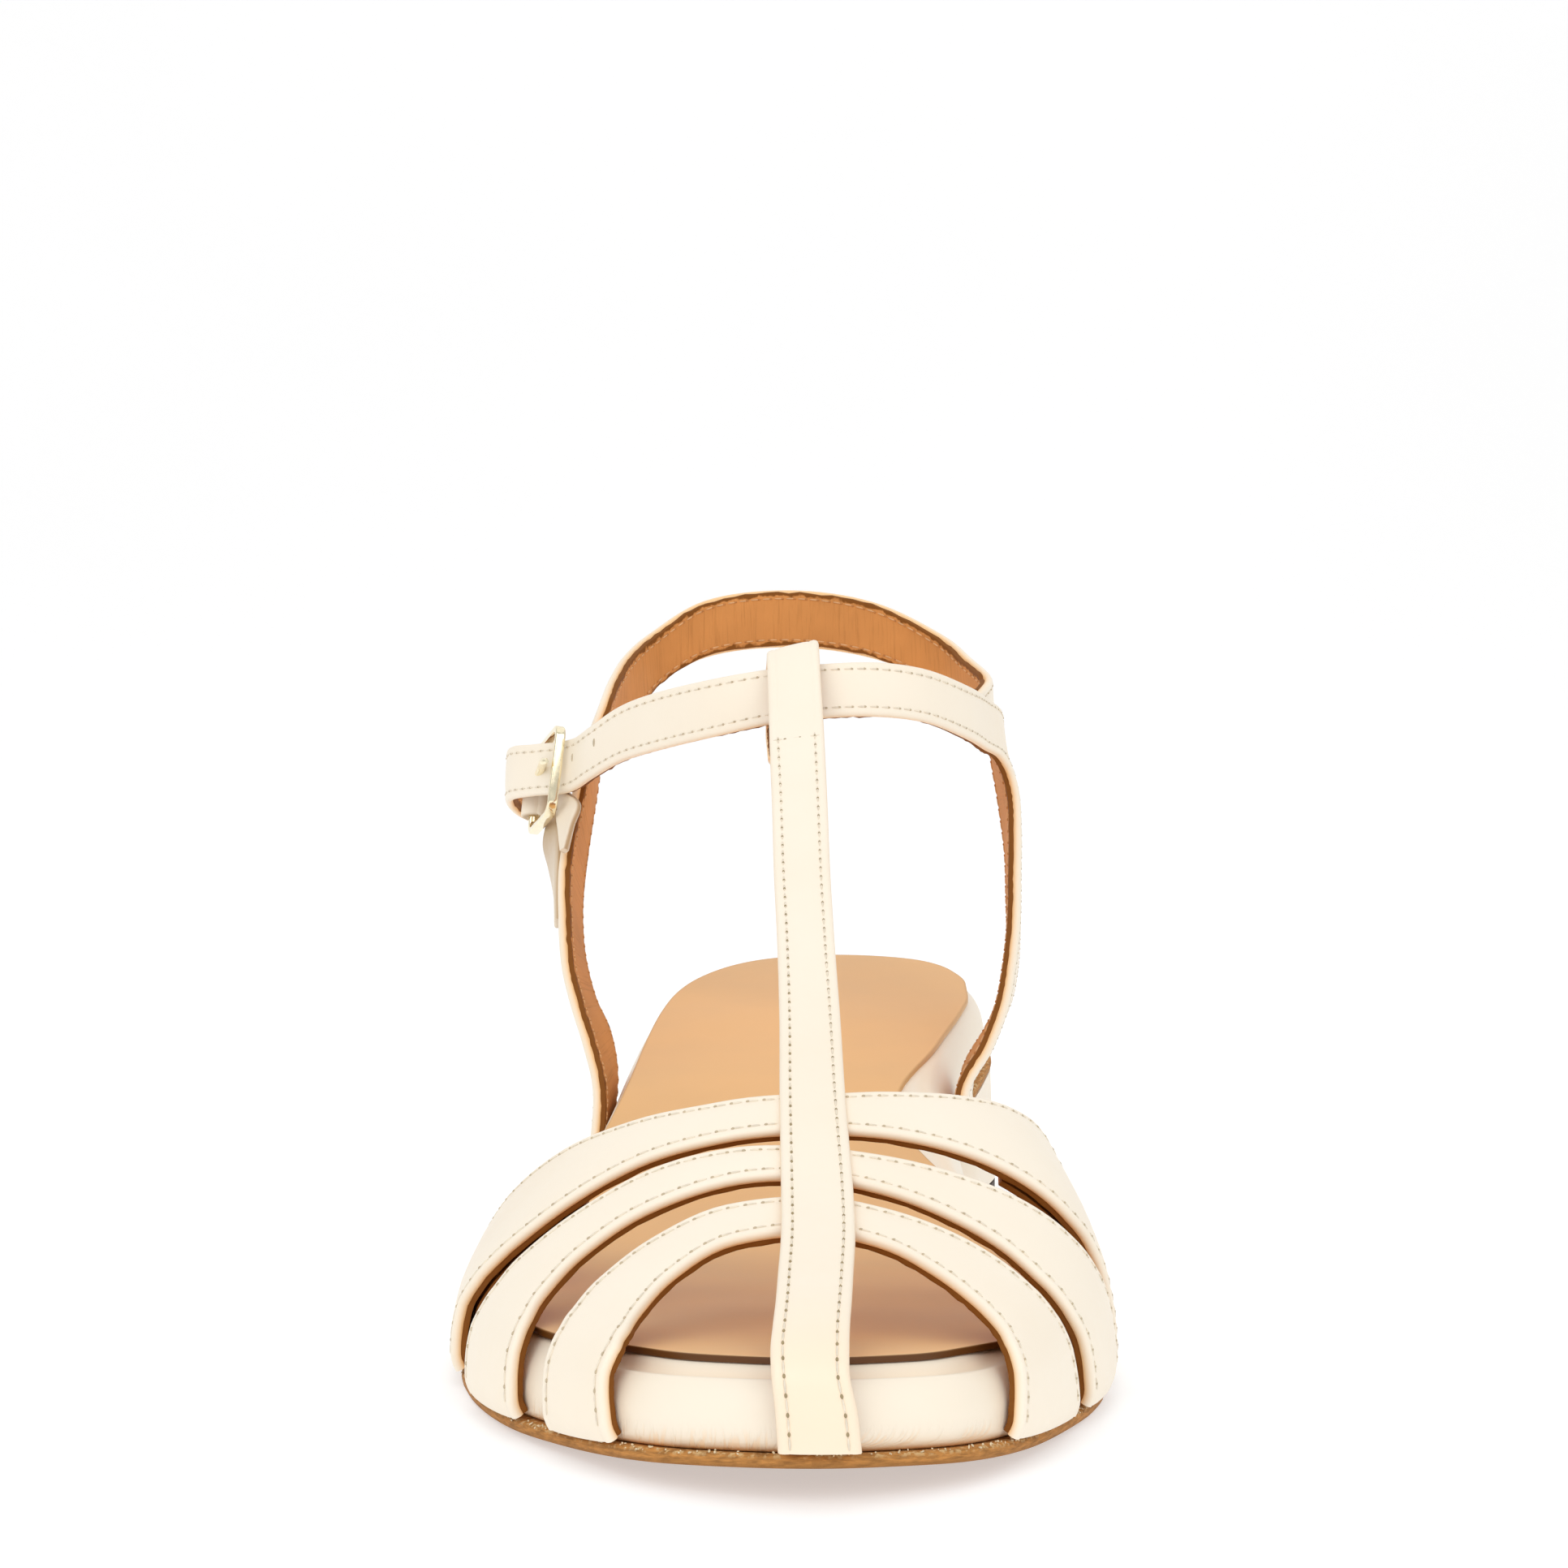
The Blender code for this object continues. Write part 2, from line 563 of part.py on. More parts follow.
def leather_band(rows, wall, inside):
    """Band with rolled edges; each row lists points of its outer face from one edge to the other."""
    last = len(rows) - 1
    normals = []
    outward = 0.0
    for i, row in enumerate(rows):
        before = rows[max(i - 1, 0)]
        after = rows[min(i + 1, last)]
        line = []
        for j, point in enumerate(row):
            along = after[j] - before[j]
            across = row[min(j + 1, len(row) - 1)] - row[max(j - 1, 0)]
            normal = along.cross(across).normalized()
            outward += normal.dot(point - inside)
            line.append(normal)
        normals.append(line)
    facing = math.copysign(1.0, outward)
    rings = []
    for row, line in zip(rows, normals):
        roll_a = min(EDGE_ROLL / (row[1] - row[0]).length, EDGE_ROLL_LIMIT)
        roll_b = min(EDGE_ROLL / (row[-2] - row[-1]).length, EDGE_ROLL_LIMIT)
        face = list(row)
        face[0] = row[0].lerp(row[1], roll_a)
        face[-1] = row[-1].lerp(row[-2], roll_b)
        depth = [normal * (facing * wall) for normal in line]
        inner = [point - d for point, d in zip(face, depth)]
        edge_a = row[0] - depth[0] * 0.5
        edge_b = row[-1] - depth[-1] * 0.5
        rings.append(face + [edge_b] + inner[::-1] + [edge_a])
    count = len(rings[0])
    vertices = [point for ring in rings for point in ring]
    faces = []
    for i in range(last):
        for j in range(count):
            k = (j + 1) % count
            faces.append((i * count + j, i * count + k, (i + 1) * count + k, (i + 1) * count + j))
    faces.append(tuple(range(count)))
    faces.append(tuple(last * count + j for j in range(count)))
    return vertices, faces


def last_section(y, step):
    """Plain forefoot section: step 0 at the lateral sole, 4 on the crest, 8 at the medial sole."""
    angle = angle_at(y)
    lateral = lateral_at_angle(angle) - SEAT_GAP
    medial = medial_at_angle(angle) + SEAT_GAP
    sole = underside_at(y) + FOOTBED_BOTTOM
    shoulder = sole + SIDE_RISE
    if step <= LATERAL_EDGE_STEP:
        return Vector((lateral, y, sole + SIDE_RISE * step))
    if step >= MEDIAL_EDGE_STEP:
        return Vector((medial, y, sole + SIDE_RISE * (MEDIAL_SOLE_STEP - step)))
    turn = math.pi * (step - LATERAL_EDGE_STEP) / (MEDIAL_EDGE_STEP - LATERAL_EDGE_STEP)
    reach = math.cos(turn)
    half = CREST_X - lateral if reach > 0.0 else medial - CREST_X
    power = lateral_power_at(y) if reach > 0.0 else medial_power_at(y)
    arch = max(crest_at(y) - shoulder, PAD_RISE) * math.sin(turn) ** power
    inset = min(half * (1.0 - abs(reach)) / PAD_RUN, 1.0)
    pad = PAD_RISE * (1.0 - (1.0 - inset) ** 2)
    rise = (arch ** PAD_BLEND + pad ** PAD_BLEND) ** (1.0 / PAD_BLEND)
    return Vector((CREST_X - half * reach, y, shoulder + rise))


def last_point(y, step):
    """Point of the last: the plain section with its shoulders rounded over the steps nearby."""
    inner = min(max(step, LATERAL_EDGE_STEP), MEDIAL_EDGE_STEP)
    turn = math.pi * (inner - LATERAL_EDGE_STEP) / (MEDIAL_EDGE_STEP - LATERAL_EDGE_STEP)
    spread = SHOULDER_SPREAD * abs(math.cos(turn))
    total = Vector((0.0, 0.0, 0.0))
    for share, weight in SHOULDER_WEIGHTS:
        total += last_section(y, step + spread * share) * weight
    return total / sum(weight for share, weight in SHOULDER_WEIGHTS)


def last_normal(y, step):
    dy = 0.2
    ds = 0.05
    along = last_point(y + dy, step) - last_point(y - dy, step)
    around = last_point(y, step + ds) - last_point(y, step - ds)
    return around.cross(along).normalized()


def cross_strap_rows(edges):
    """Rows of a cross strap's outer face from the lateral to the medial sole."""
    steps = [edge.step for edge in edges]
    back_at = smooth(steps, [edge.back for edge in edges])
    front_at = smooth(steps, [edge.front for edge in edges])
    rows = []
    for k in range(MEDIAL_SOLE_STEP * STEPS_PER_COLUMN + 1):
        step = k / STEPS_PER_COLUMN
        row = []
        for share in STRAP_SHARES:
            y = back_at(step) + (front_at(step) - back_at(step)) * share
            row.append(last_point(y, step) + last_normal(y, step) * STRAP_WALL)
        rows.append(row)
    return rows


def t_bar_rows():
    rows = []
    for row in (BarRow(*values) for values in rows_through(T_BAR, ROWS_PER_SPAN)):
        half = Vector((row.width / 2.0, 0.0, row.tilt / 2.0))
        middle = Vector((row.x, row.y, row.z))
        rows.append([middle - half, middle, middle + half])
    return rows


def edge_rows(table):
    """Rows across a band from the spline through its two edges."""
    rows = []
    for row in (BandRow(*values) for values in rows_through(table, ROWS_PER_SPAN)):
        a = Vector((row.ax, row.ay, row.az))
        b = Vector((row.bx, row.by, row.bz))
        rows.append([a, (a + b) / 2.0, b])
    return rows


FRAME_RUN = (HINGE_BAR - FRONT_BAR).normalized()
FRAME_INWARD = FRAME_RUN.cross(BAR_DIRECTION).normalized()


def tab_rows():
    """Tongue on the strap's front, the roll around the hinge bar, and the outer layer down the strap."""
    rows = edge_rows(TAB_TONGUE)
    for k in range(TAB_ROLL_STEPS + 1):
        share = k / TAB_ROLL_STEPS
        turn = math.radians(TAB_ROLL_START + (TAB_ROLL_END - TAB_ROLL_START) * share)
        arm = FRAME_INWARD * math.cos(turn) + FRAME_RUN * math.sin(turn)
        middle = HINGE_BAR + arm * TAB_ROLL_RADIUS
        half = BAR_DIRECTION * TAB_HALF_WIDTH
        rows.append([middle - half, middle, middle + half])
    return rows + edge_rows(TAB_OUTER)


def wire(name, points, radius, closed, material, collection, root):
    """Round wire along points, made a welded mesh."""
    curve = bpy.data.curves.new(name, "CURVE")
    curve.dimensions = "3D"
    curve.bevel_depth = radius * MM
    curve.bevel_resolution = 2
    curve.use_fill_caps = True
    spline = curve.splines.new("POLY")
    spline.points.add(len(points) - 1)
    spline.use_cyclic_u = closed
    for target, point in zip(spline.points, points):
        target.co = (*(point * MM), 1.0)
    guide = bpy.data.objects.new(name + "_path", curve)
    collection.objects.link(guide)
    bpy.context.view_layer.update()
    evaluated = guide.evaluated_get(bpy.context.evaluated_depsgraph_get())
    mesh = bpy.data.meshes.new_from_object(evaluated)
    build = bmesh.new()
    build.from_mesh(mesh)
    bmesh.ops.remove_doubles(build, verts=build.verts, dist=WELD_DISTANCE)
    bmesh.ops.recalc_face_normals(build, faces=build.faces)
    build.to_mesh(mesh)
    build.free()
    mesh.name = name
    mesh.shade_smooth()
    mesh.materials.clear()
    mesh.materials.append(material)
    part = bpy.data.objects.new(name, mesh)
    part.matrix_world = guide.matrix_world
    bpy.data.objects.remove(guide)
    collection.objects.link(part)
    part.parent = root
    return part


def frame_points():
    """Rounded rectangle through the front bar, the rails and the hinge bar."""
    length = (HINGE_BAR - FRONT_BAR).length
    tall = FRAME_HALF_HEIGHT
    corner = FRAME_CORNER
    centres = [
        (length - corner, tall - corner, 0.0),
        (corner, tall - corner, 90.0),
        (corner, corner - tall, 180.0),
        (length - corner, corner - tall, 270.0),
    ]
    points = []
    for run, rise, start in centres:
        for k in range(FRAME_CORNER_STEPS + 1):
            turn = math.radians(start + 90.0 * k / FRAME_CORNER_STEPS)
            along = run + corner * math.cos(turn)
            up = rise + corner * math.sin(turn)
            points.append(FRONT_BAR + FRAME_RUN * along + BAR_DIRECTION * up)
    return points


def boolean(part, cutter, operation):
    modifier = part.modifiers.new(operation.lower() + "_" + cutter.name, "BOOLEAN")
    modifier.operation = operation
    modifier.solver = "EXACT"
    modifier.object = cutter


def as_cutter(part, cutters):
    for collection in list(part.users_collection):
        collection.objects.unlink(part)
    cutters.objects.link(part)
    part.hide_render = True
    part.display_type = "WIRE"
    return part


def build_sole(parts, root):
    cream = finish("footbed_cream", CREAM, 0.5)
    new_part("outsole", *outsole_shape(), finish("outsole_brown", BROWN, 0.7), parts, root)
    new_part("footbed", *footbed_shape(), cream, parts, root)
    new_part("sock_lining", *sock_shape(), finish("sock_tan", TAN, 0.5), parts, root)
    new_part("heel_block", *heel_block_shape(), finish("heel_cream", CREAM, 0.45), parts, root)
    new_part("heel_lift", *heel_lift_shape(), finish("lift_dark", DARK, 0.7), parts, root)


def build_cage(parts, cutters, root):
    """T-bar with the three cross straps joined under it."""
    cream = finish("cage_cream", CREAM, 0.5)
    foot_middle = Vector((CREST_X, 75.0, 15.0))
    cage = new_part("cage_upper", *leather_band(t_bar_rows(), STRAP_WALL, foot_middle), cream, parts, root)
    for name, edges in CROSS_STRAPS.items():
        shape = leather_band(cross_strap_rows(edges), STRAP_WALL, foot_middle)
        strap = new_part("cross_strap_" + name, *shape, cream, parts, root)
        boolean(cage, as_cutter(strap, cutters), "UNION")


def build_ankle(parts, cutters, root):
    cream = finish("ankle_cream", CREAM, 0.5)
    ankle_middle = Vector((-3.0, 200.0, 80.0))
    ankle_shape = leather_band(edge_rows(ANKLE_STRAP), STRAP_WALL, ankle_middle)
    sling_shape = leather_band(edge_rows(SLING_STRAP), STRAP_WALL, ankle_middle)
    ankle = new_part("ankle_strap", *ankle_shape, cream, parts, root)
    new_part("sling_strap", *sling_shape, finish("sling_cream", CREAM, 0.5), parts, root)
    tab_shape = leather_band(tab_rows(), TAB_WALL, HINGE_BAR)
    tab = new_part("buckle_tab", *tab_shape, finish("tab_cream", CREAM, 0.5), parts, root)
    gold = finish("buckle_gold", PALE_GOLD, 0.25, 1.0)
    wire("buckle_frame", frame_points(), WIRE_RADIUS, True, gold, parts, root)
    prong = [Vector(values) for values in rows_through(PRONG, ROWS_PER_SPAN)]
    wire("buckle_prong", prong, PRONG_RADIUS, False, finish("prong_gold", PALE_GOLD, 0.25, 1.0), parts, root)
    lead = prong[0] + (prong[0] - prong[1]).normalized() * SLOT_LEAD
    slot = wire("prong_slot", [lead] + prong, PRONG_RADIUS + FIT_GAP, False, gold, cutters, root)
    boolean(ankle, as_cutter(slot, cutters), "DIFFERENCE")
    boolean(tab, slot, "DIFFERENCE")


def centre_on_floor(parts, root):
    """Move the root so that the box of all parts stands centred on the origin."""
    bpy.context.view_layer.update()
    graph = bpy.context.evaluated_depsgraph_get()
    corners = []
    for part in parts.objects:
        if part.type == "MESH":
            evaluated = part.evaluated_get(graph)
            corners += [vertex.co for vertex in evaluated.data.vertices]
    low = [min(corner[axis] for corner in corners) for axis in range(3)]
    high = [max(corner[axis] for corner in corners) for axis in range(3)]
    root.location = (-(low[0] + high[0]) / 2.0, -(low[1] + high[1]) / 2.0, -low[2])


def main():
    for leftover in list(bpy.data.objects):
        bpy.data.objects.remove(leftover)
    parts = bpy.data.collections.new("caged_sandal")
    cutters = bpy.data.collections.new("caged_sandal_cutters")
    bpy.context.scene.collection.children.link(parts)
    bpy.context.scene.collection.children.link(cutters)
    root = bpy.data.objects.new("caged_sandal_root", None)
    parts.objects.link(root)
    build_sole(parts, root)
    build_cage(parts, cutters, root)
    build_ankle(parts, cutters, root)
    centre_on_floor(parts, root)


main()
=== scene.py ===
"""Dresses the caged sandal: cover leather, linings, stitching, footbed, heel, buckle and stage.

Every length in the tables is in millimetres on the last. y runs from the toe to the heel, x from the
outer (lateral) side at minus to the inner (medial) side at plus, and z up from the floor.
"""

import math
from collections import namedtuple

import bmesh
import bpy
from bpy.props import FloatProperty, FloatVectorProperty, PointerProperty
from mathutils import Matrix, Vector, noise


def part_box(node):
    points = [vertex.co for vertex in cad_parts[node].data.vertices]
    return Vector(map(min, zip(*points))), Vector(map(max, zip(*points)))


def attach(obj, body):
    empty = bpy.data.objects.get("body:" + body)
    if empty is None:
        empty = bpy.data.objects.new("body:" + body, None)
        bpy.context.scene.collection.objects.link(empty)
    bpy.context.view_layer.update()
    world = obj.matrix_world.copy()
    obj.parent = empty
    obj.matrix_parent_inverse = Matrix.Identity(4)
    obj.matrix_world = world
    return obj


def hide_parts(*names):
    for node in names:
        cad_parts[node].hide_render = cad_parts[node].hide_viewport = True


bl_info = {
    "name": "Caged Sandal",
    "version": (1, 0, 0),
    "blender": (4, 5, 0),
    "location": "View3D > Sidebar > Sandal",
    "description": "Builds the leather, stitching, sole and buckle of a caged sandal on its frame",
    "category": "Object",
}

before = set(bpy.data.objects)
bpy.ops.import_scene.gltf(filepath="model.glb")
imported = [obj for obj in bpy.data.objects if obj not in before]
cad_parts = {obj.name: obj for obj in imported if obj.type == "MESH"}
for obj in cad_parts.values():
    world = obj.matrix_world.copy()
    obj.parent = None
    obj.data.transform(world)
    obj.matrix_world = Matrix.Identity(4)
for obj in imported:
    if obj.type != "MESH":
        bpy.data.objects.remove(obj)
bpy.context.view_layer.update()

MM = 0.001
BODY = "root"


def table(kind, *rows):
    """Rows of a table, with their columns named."""
    return [kind(*row) for row in rows]


# Sole layers
OUTSOLE_THICK = 1.6
FIT_GAP = 0.3
FOOTBED_THICK = 9.1
SOCK_THICK = 0.8
FOOTBED_BOTTOM = OUTSOLE_THICK + FIT_GAP
FOOTBED_TOP = FOOTBED_BOTTOM + FOOTBED_THICK
CAD_STATIONS = 30
FINE_STATIONS = 110
OUTSOLE_SPAN_ROWS = 1
FOOTBED_SPAN_ROWS = 3

# Heel
HEEL_LIFT_THICK = 4.0
HEEL_BREAST_Y = 181.0
HEEL_CORNER_RADIUS = 6.0
HEEL_FLARE_X = 1.06
HEEL_FLARE_Y = 0.97
HEEL_SEAT_X = 1.03
HEEL_SEAT_Y = 1.02
HEEL_CENTRE = (2.0, 208.0)
HEEL_LEVELS = 8
HEEL_CURVE_X = 0.8
HEEL_CURVE_Y = 1.4
LIFT_TAPER = 0.012
LIFT_BEVEL = 0.4

# Where the straps lie on the forefoot
STRAP_WALL = 2.2
CREST_X = -0.9
SEAT_GAP = 0.45
SIDE_RISE = 8.8
PAD_RISE = 2.5
PAD_RUN = 4.0
PAD_BLEND = 4
SHOULDER_SPREAD = 1.0
SHOULDER_WEIGHTS = ((-1.0, 1), (-0.5, 2), (0.0, 3), (0.5, 2), (1.0, 1))
LATERAL_EDGE_STEP = 1
MEDIAL_EDGE_STEP = 7
MEDIAL_SOLE_STEP = 8
STEPS_PER_COLUMN = 12
ROWS_PER_SPAN = 8
STRAP_COLUMNS = 8

# Sock lining: its place on the footbed, its bevelled edge and where that edge is dark
SOCK_RIM = 3.0
SOCK_TOE_RIM = 6.0
SOCK_BEVEL = 0.12
SOCK_BEVEL_RIM = 0.75
SOCK_EDGE_WIDTH = 0.42
SOCK_FLAT = 4.0
SOCK_EDGE_SIDE = 0.25
SOCK_EDGE_END = 62.0
SOCK_EDGE_FADE = 20.0
SOCK_WAIST_TRIM = 6.5
SOCK_WAIST_Y = 143.0
SOCK_WAIST_SPREAD = 22.0

# Buckle
FRAME_HALF_HEIGHT = 7.3
FRAME_CORNER = 2.2
FRAME_CORNER_STEPS = 10
WIRE_HALF_ACROSS = 0.62
WIRE_HALF_UP = 0.85
WIRE_CORNER = 0.34
FRONT_BAR = Vector((-42.9, 188.0, 76.0))
HINGE_BAR = Vector((-47.2, 201.8, 71.6))
BAR_DIRECTION = Vector((0.11, 0.16, 0.98)).normalized()
FRAME_RUN = (HINGE_BAR - FRONT_BAR).normalized()
FRAME_INWARD = FRAME_RUN.cross(BAR_DIRECTION).normalized()
TAB_WALL = 1.2
TAB_ROLL_RADIUS = 2.3
TAB_HALF_WIDTH = 4.6
TAB_ROLL_START = -10.0
TAB_ROLL_END = 270.0
TAB_ROLL_STEPS = 28
PRONG_RADIUS = 0.7
PRONG_CORNER = 0.62
PRONG_TAPER = 0.55
PRONG_TAPER_START = 0.72
PRONG_TAPER_LENGTH = 0.28

# Camera: place on the last, pitch in degrees, focal length in pixels of the photo
CAMERA_PLACE = Vector((-4.5, -355.0, 95.0))
CAMERA_PITCH = 2.267
CAMERA_FOCAL_PIXELS = 3970.0
IMAGE_PIXELS = 1932.0
SENSOR_WIDTH = 36.0

# Stage, in metres and watts
LightRow = namedtuple("LightRow", "name place width height power")
STUDIO_LIGHTS = table(
    LightRow,
    ("key_box", (-0.55, -1.05, 0.95), 1.1, 1.0, 5.8),
    ("fill_box", (0.65, -1.0, 0.85), 1.0, 1.0, 3.8),
    ("top_box", (0.0, 0.25, 1.4), 1.5, 1.5, 2.4),
)
LIGHT_TARGET = (0.0, 0.0, 0.04)
WHITE = (1.0, 1.0, 1.0, 1.0)
AIR_STRENGTH = 0.67
FLOOR_GLOW = 0.46
FLOOR_HALF_WIDTH = 3.0
FLOOR_FRONT = -2.0
FLOOR_BACK = 1.2
BACKDROP_BEND = 0.8
BACKDROP_TOP = 3.0
CLIP_NEAR = 0.02
CLIP_FAR = 20.0

# Finishes: shares of a colour's brightness, a colour mix's sockets, and how leather shines
DEEP_TAN = 0.78
TAB_SHADE_PATCH = 0.92
SOCK_EDGE_DARK = 0.5
SOLE_DARK = 0.5
SOCK_CLOUD = 1.12
MIX_AMOUNT = 0
MIX_FIRST = 6
MIX_SECOND = 7
MIX_COLOUR = 2
LEATHER_ROUGHNESS = 0.46
LEATHER_COAT = 0.10
FOOTBED_WRINKLES = 0.35

# Meshes
SHARP_ANGLE = math.radians(55.0)
WELD_DISTANCE = 0.000001

# Footbed in plan, its underside in profile, and the forefoot's crest over it
OutlineRow = namedtuple("OutlineRow", "y lateral medial")
FOOTBED_OUTLINE = table(
    OutlineRow,
    (2.3, -1.4, -1.4),
    (4.8, -10.6, 7.0),
    (10.5, -19.7, 16.0),
    (23.0, -29.3, 24.2),
    (34.5, -36.6, 29.3),
    (45.0, -41.0, 33.2),
    (55.0, -43.9, 35.6),
    (66.0, -45.9, 36.6),
    (80.0, -46.4, 35.4),
    (95.0, -44.9, 32.2),
    (115.0, -40.3, 26.8),
    (135.0, -35.6, 23.2),
    (155.0, -32.4, 22.2),
    (175.0, -30.6, 24.6),
    (195.0, -28.4, 29.0),
    (205.0, -26.8, 30.6),
    (213.0, -24.4, 30.6),
    (222.0, -19.4, 28.2),
    (229.0, -12.0, 22.6),
    (233.5, 5.0, 5.0),
)

ProfileRow = namedtuple("ProfileRow", "y z")
UNDERSIDE = table(
    ProfileRow,
    (-2.0, 4.9),
    (10.0, 3.0),
    (25.0, 1.3),
    (45.0, 0.25),
    (58.0, 0.0),
    (92.0, 0.0),
    (105.0, 1.6),
    (120.0, 5.2),
    (135.0, 9.6),
    (155.0, 15.0),
    (175.0, 18.9),
    (190.0, 21.6),
    (205.0, 23.9),
    (220.0, 26.6),
    (236.0, 29.7),
)

CrestRow = namedtuple("CrestRow", "y z lateral_power medial_power")
FOREFOOT = table(
    CrestRow,
    (2.0, 10.5, 2.0, 1.60),
    (9.0, 15.4, 2.0, 1.60),
    (16.0, 18.2, 2.0, 1.50),
    (27.0, 21.4, 2.0, 1.32),
    (39.0, 25.0, 1.95, 1.12),
    (55.0, 31.9, 1.9, 0.92),
    (66.0, 37.0, 1.85, 0.90),
    (80.0, 43.6, 1.8, 0.90),
    (95.0, 51.6, 1.8, 0.90),
)

# Edges of the cross straps: y of the back and front edge at steps from the lateral to the medial sole
EdgeRow = namedtuple("EdgeRow", "step back front")
CROSS_STRAPS = {
    "rear": table(
        EdgeRow,
        (0.0, 88.0, 61.0),
        (1.0, 89.0, 62.8),
        (1.5, 87.5, 61.4),
        (2.0, 83.0, 60.4),
        (2.5, 77.0, 60.0),
        (3.0, 70.2, 59.2),
        (3.5, 65.6, 57.4),
        (4.0, 64.4, 56.6),
        (4.5, 66.4, 57.0),
        (5.0, 70.4, 57.4),
        (5.5, 76.4, 57.8),
        (6.0, 82.0, 58.6),
        (6.5, 82.0, 61.0),
        (7.0, 80.5, 62.0),
        (8.0, 79.0, 61.0),
    ),
    "middle": table(
        EdgeRow,
        (0.0, 49.5, 32.0),
        (1.0, 50.8, 33.4),
        (1.5, 51.6, 35.2),
        (2.0, 54.2, 39.6),
        (2.5, 55.7, 44.6),
        (3.0, 56.2, 47.3),
        (3.5, 55.0, 47.8),
        (4.0, 53.2, 46.8),
        (4.5, 52.3, 45.0),
        (5.0, 52.0, 42.6),
        (5.5, 52.4, 40.4),
        (6.0, 53.2, 38.4),
        (6.5, 55.0, 38.0),
        (7.0, 57.0, 38.8),
        (8.0, 57.6, 39.6),
    ),
    "front": table(
        EdgeRow,
        (0.0, 25.6, 13.8),
        (1.0, 26.6, 15.2),
        (1.5, 27.6, 15.6),
        (2.0, 30.4, 18.0),
        (2.5, 35.4, 23.0),
        (3.0, 40.2, 29.2),
        (3.5, 42.9, 34.0),
        (4.0, 42.8, 34.6),
        (4.5, 41.2, 32.6),
        (5.0, 39.2, 28.4),
        (5.5, 37.0, 24.4),
        (6.0, 35.0, 21.2),
        (6.5, 34.0, 18.9),
        (7.0, 33.9, 18.0),
        (8.0, 34.8, 16.6),
    ),
}

# Middle of the T-bar, its width and how far its medial edge stands higher
BarRow = namedtuple("BarRow", "y z x width tilt")
T_BAR = table(
    BarRow,
    (-0.3, 6.4, -0.5, 9.4, 0.0),
    (-0.4, 11.0, -0.9, 9.2, 0.0),
    (0.4, 15.0, -1.5, 8.8, 0.0),
    (3.0, 17.9, -1.6, 8.9, 0.0),
    (7.4, 19.9, -1.4, 8.8, 0.0),
    (12.6, 21.5, -1.1, 8.8, 0.0),
    (20.0, 23.3, -0.8, 8.9, 0.0),
    (30.0, 26.0, -0.4, 9.0, 0.0),
    (42.0, 29.8, -0.4, 9.0, 0.0),
    (62.0, 38.5, -0.8, 8.6, 0.0),
    (80.0, 46.7, -1.0, 8.3, 0.0),
    (96.0, 55.2, -1.4, 8.1, 0.0),
    (112.0, 64.6, -1.9, 8.2, 0.2),
    (126.0, 73.8, -2.2, 8.3, 0.5),
    (138.0, 82.6, -2.6, 8.4, 1.0),
    (146.0, 89.2, -2.9, 8.3, 1.5),
    (152.6, 94.9, -3.2, 8.2, 2.0),
    (156.4, 96.8, -3.3, 8.2, 2.0),
    (159.4, 95.2, -3.3, 8.2, 2.0),
    (159.6, 91.0, -3.3, 8.2, 1.8),
    (157.2, 86.4, -3.2, 8.2, 1.4),
    (154.4, 82.4, -3.2, 8.2, 1.0),
    (150.6, 80.8, -3.1, 8.2, 0.8),
    (146.0, 80.2, -3.0, 8.2, 0.8),
    (141.0, 78.6, -2.8, 8.2, 0.8),
)

# Edges a and b of the ankle straps and the tab
BandRow = namedtuple("BandRow", "ax ay az bx by bz")
ANKLE_STRAP = table(
    BandRow,
    (24.9, 150.5, 16.1, 26.1, 166.0, 19.5),
    (25.0, 155.0, 25.5, 26.9, 170.0, 27.2),
    (29.0, 160.0, 31.8, 30.6, 174.0, 33.0),
    (31.9, 165.0, 38.4, 33.2, 177.5, 37.5),
    (33.4, 170.0, 44.4, 34.5, 182.0, 41.5),
    (34.6, 176.5, 51.2, 35.4, 188.0, 46.5),
    (35.2, 182.5, 59.0, 35.6, 194.2, 53.0),
    (35.6, 187.2, 66.0, 35.7, 200.5, 61.0),
    (35.5, 189.6, 71.6, 34.6, 204.4, 70.5),
    (34.4, 188.6, 75.6, 33.1, 202.6, 79.2),
    (32.4, 184.0, 78.4, 33.0, 196.4, 85.4),
    (29.6, 177.5, 79.9, 30.2, 187.5, 87.9),
    (26.0, 169.5, 81.7, 26.0, 172.8, 90.3),
    (18.3, 159.4, 84.7, 18.2, 162.2, 93.2),
    (10.2, 153.3, 85.8, 10.2, 157.2, 94.3),
    (1.8, 150.3, 85.7, 1.8, 155.0, 94.1),
    (-7.2, 150.9, 84.6, -7.2, 155.3, 93.2),
    (-15.6, 155.2, 82.6, -15.6, 158.6, 91.7),
    (-26.3, 166.0, 79.7, -26.2, 168.4, 89.1),
    (-32.0, 173.6, 77.7, -31.9, 175.2, 86.9),
    (-37.4, 181.5, 74.6, -37.2, 182.6, 83.4),
    (-41.6, 188.2, 72.1, -41.0, 189.6, 81.1),
    (-48.0, 194.5, 71.2, -47.6, 195.5, 80.1),
    (-52.2, 200.3, 70.3, -51.9, 201.1, 79.5),
    (-53.0, 206.0, 69.0, -52.8, 206.4, 78.0),
    (-51.9, 211.5, 67.0, -51.8, 211.6, 75.2),
    (-49.9, 216.0, 65.6, -49.8, 216.0, 72.6),
)
